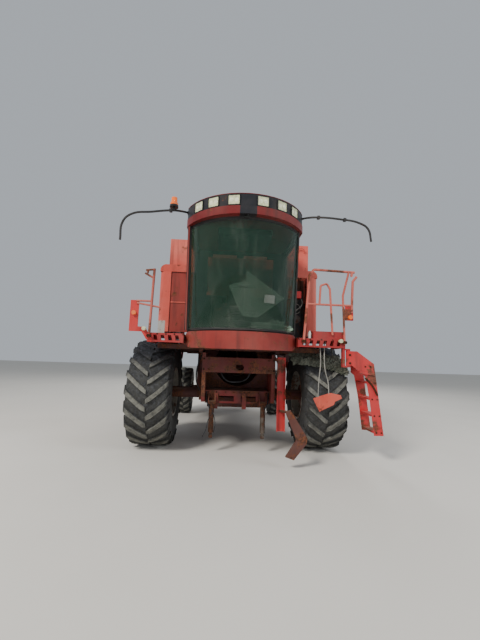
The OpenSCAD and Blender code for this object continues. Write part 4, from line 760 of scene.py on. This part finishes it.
bm = bmesh.new()
PANEL = ((0.05, 2.91), (0.64, 2.50), (0.23, 2.19), (0.01, 2.20), (-0.08, 2.35), (-0.22, 2.67), (0.05, 2.76))
plate(bm, PANEL, "Y", -1.155, -1.149)
for (x, z), (end_x, end_z) in zip(PANEL, PANEL[1:] + PANEL[:1]):
    rod(bm, (x, -1.157, z), (end_x, -1.157, end_z), 0.008, 8)
piece("loose_panel", bm, loose_sheet)
bm = bmesh.new()
block(bm, (0.33, -1.176, 2.41), (0.49, -1.172, 2.54), (0, 4, 0))
piece("blank_card", bm, blank_card)


def lumps(bm, places, seed, rough=0.35, subdivisions=3):
    """Rough clods: balls at (centre, half sizes), pushed in and out by a fixed noise"""
    for number, (centre, size) in enumerate(places):
        made = bmesh.ops.create_icosphere(bm, subdivisions=subdivisions, radius=1, matrix=place_of((0, 0, 0)))
        for vert in made["verts"]:
            push = 1 + rough * noise.noise(vert.co * 2.1 + Vector((seed, number * 3.7, 0)))
            push += rough * 0.6 * noise.noise(vert.co * 5.3 + Vector((0, seed, number * 1.9)))
            vert.co = Vector(centre) + Vector(a * b * push for a, b in zip(vert.co, size))


bm = bmesh.new()
lumps(bm, (((0.30, -1.20, 2.03), (0.17, 0.10, 0.065)), ((0.50, -1.16, 2.05), (0.15, 0.09, 0.085)),
           ((0.64, -1.10, 2.02), (0.12, 0.08, 0.055)), ((0.42, -1.10, 2.02), (0.18, 0.09, 0.06))), 4, 0.7, 4)
piece("crushed_wrap", bm, loose_sheet, smooth=20)


# ---------------------------------------------------------------- throat, decks and ladder

# Bolt heads on the throat's cheeks and beam, and on its ledge
bm = bmesh.new()
bolts(bm, [(x, -0.650, z) for x in (-0.585, -0.50, 0.50, 0.585) for z in (1.36, 1.53)], FORWARD, 0.013, 0.011)
bolts(bm, [(x, -0.441, 0.975) for x in (-0.5, -0.36, -0.2, -0.06, 0.04, 0.2, 0.36, 0.5)], FORWARD, 0.010, 0.008)
for x in (-0.611, 0.611):
    bolts(bm, [(x, y, z) for y in (-0.42, -0.28) for z in (0.9, 1.1, 1.3)], (x, 0, 0), 0.013, 0.010)
bolts(bm, [(x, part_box("throat")[0].y, 0.80) for x in (-0.43, 0.43)], FORWARD, 0.012, 0.01)
piece("throat_bolts", bm, rusty_bolts)

# Hydraulic hoses and hanging wires round the throat
bm = bmesh.new()
for side in (-1, 1):
    tube(bm, [(side * 0.43, -0.50, 0.70), (side * 0.47, -0.56, 0.74), (side * 0.52, -0.50, 0.86),
              (side * 0.53, -0.43, 0.98)], 0.011)
tube(bm, [(-0.40, -0.60, 0.66), (-0.47, -0.62, 0.55), (-0.50, -0.61, 0.40), (-0.56, -0.60, 0.27)], 0.006)
tube(bm, [(-0.42, -0.55, 0.72), (-0.40, -0.60, 0.66), (-0.36, -0.63, 0.48), (-0.38, -0.60, 0.34)], 0.006)
tube(bm, [(-0.30, -0.60, 1.33), (-0.22, -0.64, 1.20), (-0.05, -0.62, 1.16), (0.14, -0.60, 1.22),
          (0.20, -0.60, 1.33)], 0.010)
tube(bm, [(0.62, -0.52, 1.62), (0.68, -0.60, 1.42), (0.72, -0.58, 1.10), (0.66, -0.40, 0.86)], 0.012)
tube(bm, [(-0.62, -0.52, 1.62), (-0.69, -0.55, 1.40), (-0.70, -0.50, 1.15), (-0.64, -0.38, 0.98)], 0.012)
piece("front_hoses", bm, hose_rubber)

# The orange-red plate that hangs from its wires, and the bent brown guard on the safety channel
bm = bmesh.new()
plate(bm, ((1.15, 0.97), (1.42, 1.06), (1.59, 1.03), (1.61, 0.98), (1.50, 0.93), (1.48, 0.88), (1.25, 0.77)),
      "Y", -1.006, -0.998)
bolts(bm, [(1.37, -1.006, 0.93)], FORWARD, 0.011, 0.006)
piece("hanging_plate", bm, orange_red)
bm = bmesh.new()
tube(bm, [(1.26, -1.00, 1.826), (1.27, -1.00, 1.52), (1.24, -1.01, 1.25), (1.23, -1.00, 0.99)], 0.008)
tube(bm, [(1.33, -1.00, 1.826), (1.34, -1.00, 1.43), (1.39, -1.01, 1.20), (1.40, -1.00, 1.04)], 0.008)
piece("hanging_wires", bm, grey_wire)
bm = bmesh.new()
plate(bm, ((0.66, 0.80), (0.74, 0.82), (0.985, 0.44), (0.975, 0.36), (0.79, 0.13), (0.67, 0.17), (0.83, 0.40)),
      "Y", -1.30, -1.25)
rod(bm, (0.70, -1.26, 0.79), (0.70, -0.690, 0.72), 0.020, 14)
piece("bent_guard", bm, brown_guard, "safety_channel")

# Decks: bolts of the punched edges, rail clips and a bottle
bm = bmesh.new()
edge_bolts, clip_z = evenly(0.90, 0.18, 5) + evenly(-1.42, 0.13, 5), deck_z - 0.05
bolts(bm, [(x, -1.081, deck_z - 0.016) for x in edge_bolts], FORWARD, 0.009, 0.007)
for x in (0.972, 1.624, -1.41):
    block(bm, (x - 0.03, -1.125, clip_z - 0.022), (x + 0.03, -1.078, clip_z + 0.022), bevel=0.004)
    bolts(bm, [(x - 0.022, -1.125, clip_z), (x + 0.022, -1.125, clip_z)], FORWARD, 0.008, 0.007)
piece("deck_bolts", bm, rusty_bolts)

bm = bmesh.new()
lathe(bm, [(0, 0), (0, 0.028), (0.085, 0.029), (0.105, 0.014), (0.122, 0.013), (0.122, 0.0)],
      (1.085, -1.02, deck_z + 0.001), "Z", 24)
piece("bottle", bm, blank_card)

# Anti-slip bars on the decks
bm = bmesh.new()
for low_x, high_x in ((0.92, 1.60), (-1.40, -0.92)):
    for y in evenly(-0.75, 0.075, 9):
        block(bm, (low_x, y, deck_z - 0.003), (high_x, y + 0.012, deck_z + 0.005))
piece("deck_grips", bm, shade_red)

# Each step's height and the X of its inner edge
STEPS = ((0.47, 2.085), (0.72, 2.060), (0.97, 2.030), (1.22, 2.000), (1.47, 1.930))

# Ladder: punched grips on the steps, a strap, bolts and a bent arm
bm = bmesh.new()
for height, inner in STEPS:
    for row in (0.03, 0.07, 0.11):
        for y in evenly(-1.045, 0.055, 7):
            rod(bm, (inner + row, y, height + 0.028), (inner + row, y, height + 0.034), 0.008, 8, 0.006)
block(bm, (1.86, -1.100, 1.36), (2.11, -1.079, 1.40), (0, 6, 0), 0.004)
piece("ladder_grips", bm, bright_red, "ladder")
bm = bmesh.new()
for height, inner in STEPS:
    bolts(bm, [(inner + row, -1.078, height + 0.015) for row in (0.03, 0.11)], FORWARD, 0.010, 0.008)
bolts(bm, [(1.715, -1.078, 1.53), (1.715, -1.078, 1.66)], FORWARD, 0.014, 0.012)
tube(bm, [(1.95, -1.09, 1.31), (2.04, -1.095, 1.22), (2.10, -1.09, 1.13), (2.14, -1.09, 1.05)], 0.016)
piece("ladder_bolts", bm, rusty_bolts, "ladder")


# ---------------------------------------------------------------- body, tank and hood

# Rivets and a trim bar on the front panels
bm = bmesh.new()
for x in (-1.34, 1.34):
    for z in evenly(2.08, 0.13, 9):
        rod(bm, (x, 0.002, z), (x, -0.004, z), 0.007, 10, 0.005)
for z in evenly(2.10, 0.17, 7):
    rod(bm, (-0.95, 0.022, z), (-0.95, 0.015, z), 0.007, 10, 0.005)
block(bm, (-1.30, 0.008, 2.56), (-0.93, 0.021, 2.585), bevel=0.004)
piece("panel_rivets", bm, salmon)

# The bright box and the loops of cable in the open bay
bm = bmesh.new()
block(bm, (0.96, 0.05, 2.76), (1.22, 0.20, 2.90), bevel=0.01)
block(bm, (1.00, 0.10, 2.42), (1.10, 0.18, 2.56), bevel=0.01)
piece("bay_box", bm, bright_red)
bm = bmesh.new()
for x, z, size in ((1.02, 2.62, 0.085), (1.12, 2.56, 0.10), (1.06, 2.44, 0.07)):
    tube(bm, [(x + size * cos(a), 0.12 + 0.02 * sin(2 * a), z + size * sin(a))
              for a in (step * pi / 5 for step in range(10))], 0.007)
tube(bm, [(0.97, 0.14, 2.36), (1.10, 0.08, 2.50), (1.24, 0.07, 2.66), (1.20, 0.10, 2.80)], 0.009)
piece("bay_cables", bm, grey_wire)

# Grain tank extension: ribs, the tab handle and bolts
low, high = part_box("tank_extension")
foot, head = low.z + 0.03, high.z - 0.03
RIB_DEPTH = 0.012
bm = bmesh.new()
for y in (low.y - RIB_DEPTH, high.y):
    for x in (-0.93, -0.47, 0.0, 0.47, 0.93):
        block(bm, (x - 0.02, y, foot), (x + 0.02, y + RIB_DEPTH, head), bevel=0.004)
for x in (low.x - RIB_DEPTH, high.x):
    for y in (0.6, 1.0, 1.4, 1.8):
        block(bm, (x, y - 0.02, foot), (x + RIB_DEPTH, y + 0.02, head), bevel=0.004)
tube(bm, [(1.15, low.y, 3.74), (1.15, low.y - 0.035, 3.75), (1.17, low.y - 0.04, 3.81), (1.30, low.y - 0.04, 3.815),
          (1.32, low.y - 0.035, 3.76), (1.32, low.y, 3.75)], 0.008)
piece("extension_ribs", bm, salmon)
bm = bmesh.new()
bolt_z = low.z + 0.015
bolts(bm, [(x, low.y, bolt_z) for x in evenly(-1.3, 0.2, 14)], FORWARD, 0.009, 0.007)
for x, way in ((low.x, RIGHT), (high.x, LEFT)):
    bolts(bm, [(x, y, bolt_z) for y in evenly(0.5, 0.25, 7)], way, 0.009, 0.007)
piece("extension_bolts", bm, rusty_bolts)


def door_trim(side, name):
    """Pressed ribs, louvres, latches and a grab handle on a side door's outer face; side is 1 or -1 along X"""
    low_x, high_x = (1.518, 1.526) if side > 0 else (-1.526, -1.518)
    bm = bmesh.new()
    for z in (1.95, 2.27, 2.88):
        block(bm, (low_x, 1.25 if z < 2.0 else 0.25, z), (high_x, 3.9 if z < 2.3 else 2.25, z + 0.045), bevel=0.003)
    for y in (1.30, 2.42):
        block(bm, (low_x, y, 1.30), (high_x, y + 0.05, 1.93), bevel=0.003)
    for y in evenly(2.75, 0.09, 11):
        block(bm, (low_x - 0.002, y, 1.62), (high_x + 0.002, y + 0.045, 1.86), (0, 0, 7 * side), 0.004)
    for z in evenly(2.44, 0.048, 8):
        block(bm, (low_x - 0.002, 1.35, z), (high_x + 0.002, 1.95, z + 0.024), (0, 12 * side, 0), 0.004)
    piece("door_trim_" + name, bm, body_red, "side_door_" + name)
    bm = bmesh.new()
    for y, z in ((0.9, 2.08), (2.3, 1.26), (3.7, 1.56)):
        block(bm, (low_x, y - 0.045, z - 0.03), (high_x + 0.006 * (side > 0), y + 0.045, z + 0.03), bevel=0.005)
    face, grip = 1.52 * side, 1.57 * side
    tube(bm, [(face, 2.05, 1.33), (grip, 2.07, 1.33), (grip, 2.25, 1.33), (face, 2.27, 1.33)], 0.010)
    piece("door_latches_" + name, bm, black_plastic, "side_door_" + name)


door_trim(1, "left")
door_trim(-1, "right")

# Engine hood: louvres on the left and rear, handles and the exhaust's flap
bm = bmesh.new()
for z in evenly(2.52, 0.05, 12):
    block(bm, (1.376, 2.60, z), (1.390, 3.80, z + 0.026), (0, 14, 0), 0.004)
    block(bm, (-0.95, 4.232, z), (0.95, 4.246, z + 0.026), (-14, 0, 0), 0.004)
for y in (2.7, 3.3, 3.9):
    block(bm, (-1.33, y, 3.234), (1.33, y + 0.05, 3.244), bevel=0.004)
piece("hood_louvres", bm, tank_red)
bm = bmesh.new()
for x in (-0.55, 0.55):
    tube(bm, [(x - 0.09, 4.24, 3.15), (x - 0.09, 4.28, 3.15), (x + 0.09, 4.28, 3.15), (x + 0.09, 4.24, 3.15)],
         0.009)
rod(bm, (0.72, 3.30, 3.60), (0.72, 3.30, 3.652), 0.068, 28)
block(bm, (0.665, 3.235, 3.655), (0.775, 3.365, 3.661), (24, 0, 0))
rod(bm, (0.66, 3.36, 3.652), (0.78, 3.36, 3.652), 0.008, 10)
piece("exhaust_flap", bm, exhaust_rust)

# Air screen: rings of perforation, drawn as thin black discs of painted shade where the holes are
bm = bmesh.new()
low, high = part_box("air_screen")
middle, face = (low + high) / 2, low.x + 0.014
for radius, count in ((0.10, 14), (0.155, 22), (0.21, 30), (0.265, 38)):
    for a in circle_angles(count):
        y, z = middle.y + radius * cos(a), middle.z + radius * sin(a)
        rod(bm, (face, y, z), (face - 0.003, y, z), 0.012, 8)
piece("screen_holes", bm, hole_shade, "air_screen")

# Rear hood: ribs and a service ladder
bm = bmesh.new()
for x in (-0.40, 0.0, 0.40):
    block(bm, (x - 0.02, 5.412, 1.16), (x + 0.02, 5.424, 1.46), bevel=0.004)
for side in (-1, 1):
    for y in (4.6, 5.0):
        block(bm, (side * 0.655 - 0.006, y, 1.30), (side * 0.655 + 0.012 * (side > 0), y + 0.04, 2.25), bevel=0.003)
piece("rear_ribs", bm, red)
bm = bmesh.new()
for y, z in zip(evenly(4.355, -0.011, 5), evenly(1.84, 0.29, 5)):
    rod(bm, (0.86, y, z), (1.20, y, z), 0.012, 12)
for x in (0.86, 1.20):
    rod(bm, (x, 4.36, 1.72), (x, 4.30, 3.18), 0.014, 12)
    rod(bm, (x, 4.30, 3.10), (x, 4.235, 3.10), 0.010, 10)
    rod(bm, (x, 4.34, 2.44), (x, 4.235, 2.44), 0.010, 10)
piece("rear_ladder", bm, bright_red)

# Unloading auger: flange bolts and the rubber boot of the spout
bm = bmesh.new()
axis_x, axis_z, bolt_circle = 1.562, 3.46, 0.15132
for y, way in ((1.372, -1), (1.408, 1)):
    bolts(bm, [(axis_x + bolt_circle * cos(a), y, axis_z + bolt_circle * sin(a)) for a in circle_angles(12)],
          (0, way, 0), 0.009, 0.008)
piece("auger_bolts", bm, rusty_bolts, "unloading_auger")
bm = bmesh.new()
lathe(bm, [(0.0, 0.080), (0.0, 0.092), (-0.06, 0.096), (-0.14, 0.091), (-0.19, 0.100), (-0.19, 0.080)],
      (axis_x, 5.448, axis_z - 0.12), "Z", 32)
piece("auger_boot", bm, hose_rubber, "unloading_auger")

# Rear axle: the steering cylinder and its hoses
bm = bmesh.new()
rod(bm, (-0.20, 3.60, 0.755), (0.40, 3.62, 0.755), 0.032, 20)
rod(bm, (0.40, 3.62, 0.755), (0.68, 3.63, 0.755), 0.016, 16)
piece("steering_cylinder", bm, steel)
bm = bmesh.new()
tube(bm, [(-0.16, 3.60, 0.78), (-0.20, 3.55, 0.95), (-0.28, 3.60, 1.2), (-0.30, 3.70, 1.55)], 0.010)
tube(bm, [(0.36, 3.62, 0.78), (0.38, 3.56, 0.95), (0.30, 3.60, 1.2), (-0.20, 3.70, 1.55)], 0.010)
piece("axle_hoses", bm, hose_rubber)


# ---------------------------------------------------------------- the driver's seat


def baked(holder):
    """Gives a piece the mesh that its modifiers make, and takes the modifiers off"""
    bpy.context.view_layer.update()
    mesh = bpy.data.meshes.new_from_object(holder.evaluated_get(bpy.context.evaluated_depsgraph_get()))
    holder.modifiers.clear()
    holder.data = mesh


CUSHION_SWELL = 0.016


def cushion(name, low, high, tilt=0):
    """A padded block that the cloth solver blows up, no point moving further than CUSHION_SWELL"""
    bm = bmesh.new()
    block(bm, low, high, (tilt, 0, 0), 0.035)
    pad = piece(name, bm, seat_cloth, smooth=60)
    remesh = pad.modifiers.new("voxels", "REMESH")
    remesh.mode, remesh.voxel_size, remesh.use_smooth_shade = "VOXEL", 0.012, True
    baked(pad)
    start = [vert.co.copy() for vert in pad.data.vertices]
    cloth_settings = pad.modifiers.new("padding", "CLOTH").settings
    cloth_settings.use_pressure = True
    cloth_settings.uniform_pressure_force = 4
    cloth_settings.effector_weights.gravity = 0
    for step in range(1, 16):
        bpy.context.scene.frame_set(step)
    baked(pad)
    bpy.context.scene.frame_set(1)
    for vert, place in zip(pad.data.vertices, start):
        move = vert.co - place
        if move.length > CUSHION_SWELL:
            vert.co = place + move * (CUSHION_SWELL / move.length)
    pad.data.materials.clear()
    pad.data.materials.append(seat_cloth)
    pad.data.shade_smooth()


seat_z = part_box("seat")[0].z
bm = bmesh.new()
block(bm, (-0.18, -0.72, 0), (0.18, -0.38, 0.20), bevel=0.012)
for fold, z in enumerate(evenly(0.20, 0.028, 5)):
    wide = 0.172 + 0.008 * (fold % 2)
    block(bm, (-wide, -0.71, z), (wide, -0.39, z + 0.026), bevel=0.006)
block(bm, (-0.23, -0.80, 0.338), (0.23, -0.38, 0.352), bevel=0.005)
block(bm, (-0.33, -0.78, 0.56), (-0.251, -0.41, 0.62), bevel=0.018)
block(bm, (-0.30, -0.50, 0.30), (-0.27, -0.46, 0.561), bevel=0.004)
block(bm, (-0.30, -0.50, 0.30), (-0.17, -0.46, 0.33), bevel=0.004)
rod(bm, (0.19, -0.70, 0.30), (0.26, -0.72, 0.30), 0.009, 12)
bmesh.ops.translate(bm, verts=bm.verts, vec=(0, 0, seat_z))
piece("seat_base", bm, black_plastic, replaces=("seat",))
cushion("seat_cushion", (-0.235, -0.83, seat_z + 0.352), (0.235, -0.36, seat_z + 0.445))
cushion("seat_back", (-0.215, -0.345, seat_z + 0.475), (0.215, -0.26, seat_z + 0.975), -8)


# ---------------------------------------------------------------- matted straw and moss above the left front tyre

MAT_ROWS, MAT_CLODS = 3, 22
bm = bmesh.new()
places = []
for row in range(MAT_ROWS):
    for number in range(MAT_CLODS):
        share = (number + 0.33 * row) / MAT_CLODS
        wave = noise.noise(Vector((share * 9, 1.5 + row, 0)))
        x = 0.90 + 0.86 * share
        z = 1.70 - 0.17 * share * share - 0.075 * row + 0.05 * wave
        reach = (FRONT_TYRE.radius ** 2 - (z - FRONT_TYRE.radius) ** 2) ** 0.5
        places.append(((x, -reach - 0.02 + 0.02 * wave, z), (0.048, 0.022, 0.046 + 0.02 * wave)))
lumps(bm, places, 7, 1.3)
for x, y, z in ((1.02, -0.48, 1.70), (1.30, -0.50, 1.68), (1.62, -0.58, 1.60)):
    tube(bm, [(x, y, z), (x + 0.01, -0.50, z + 0.10), (x, -0.50, 1.885)], 0.009)
piece("straw_mat", bm, straw_mat, smooth=20)


# ---------------------------------------------------------------- the scene

set_camera()
set_stage()
dress_nodes()
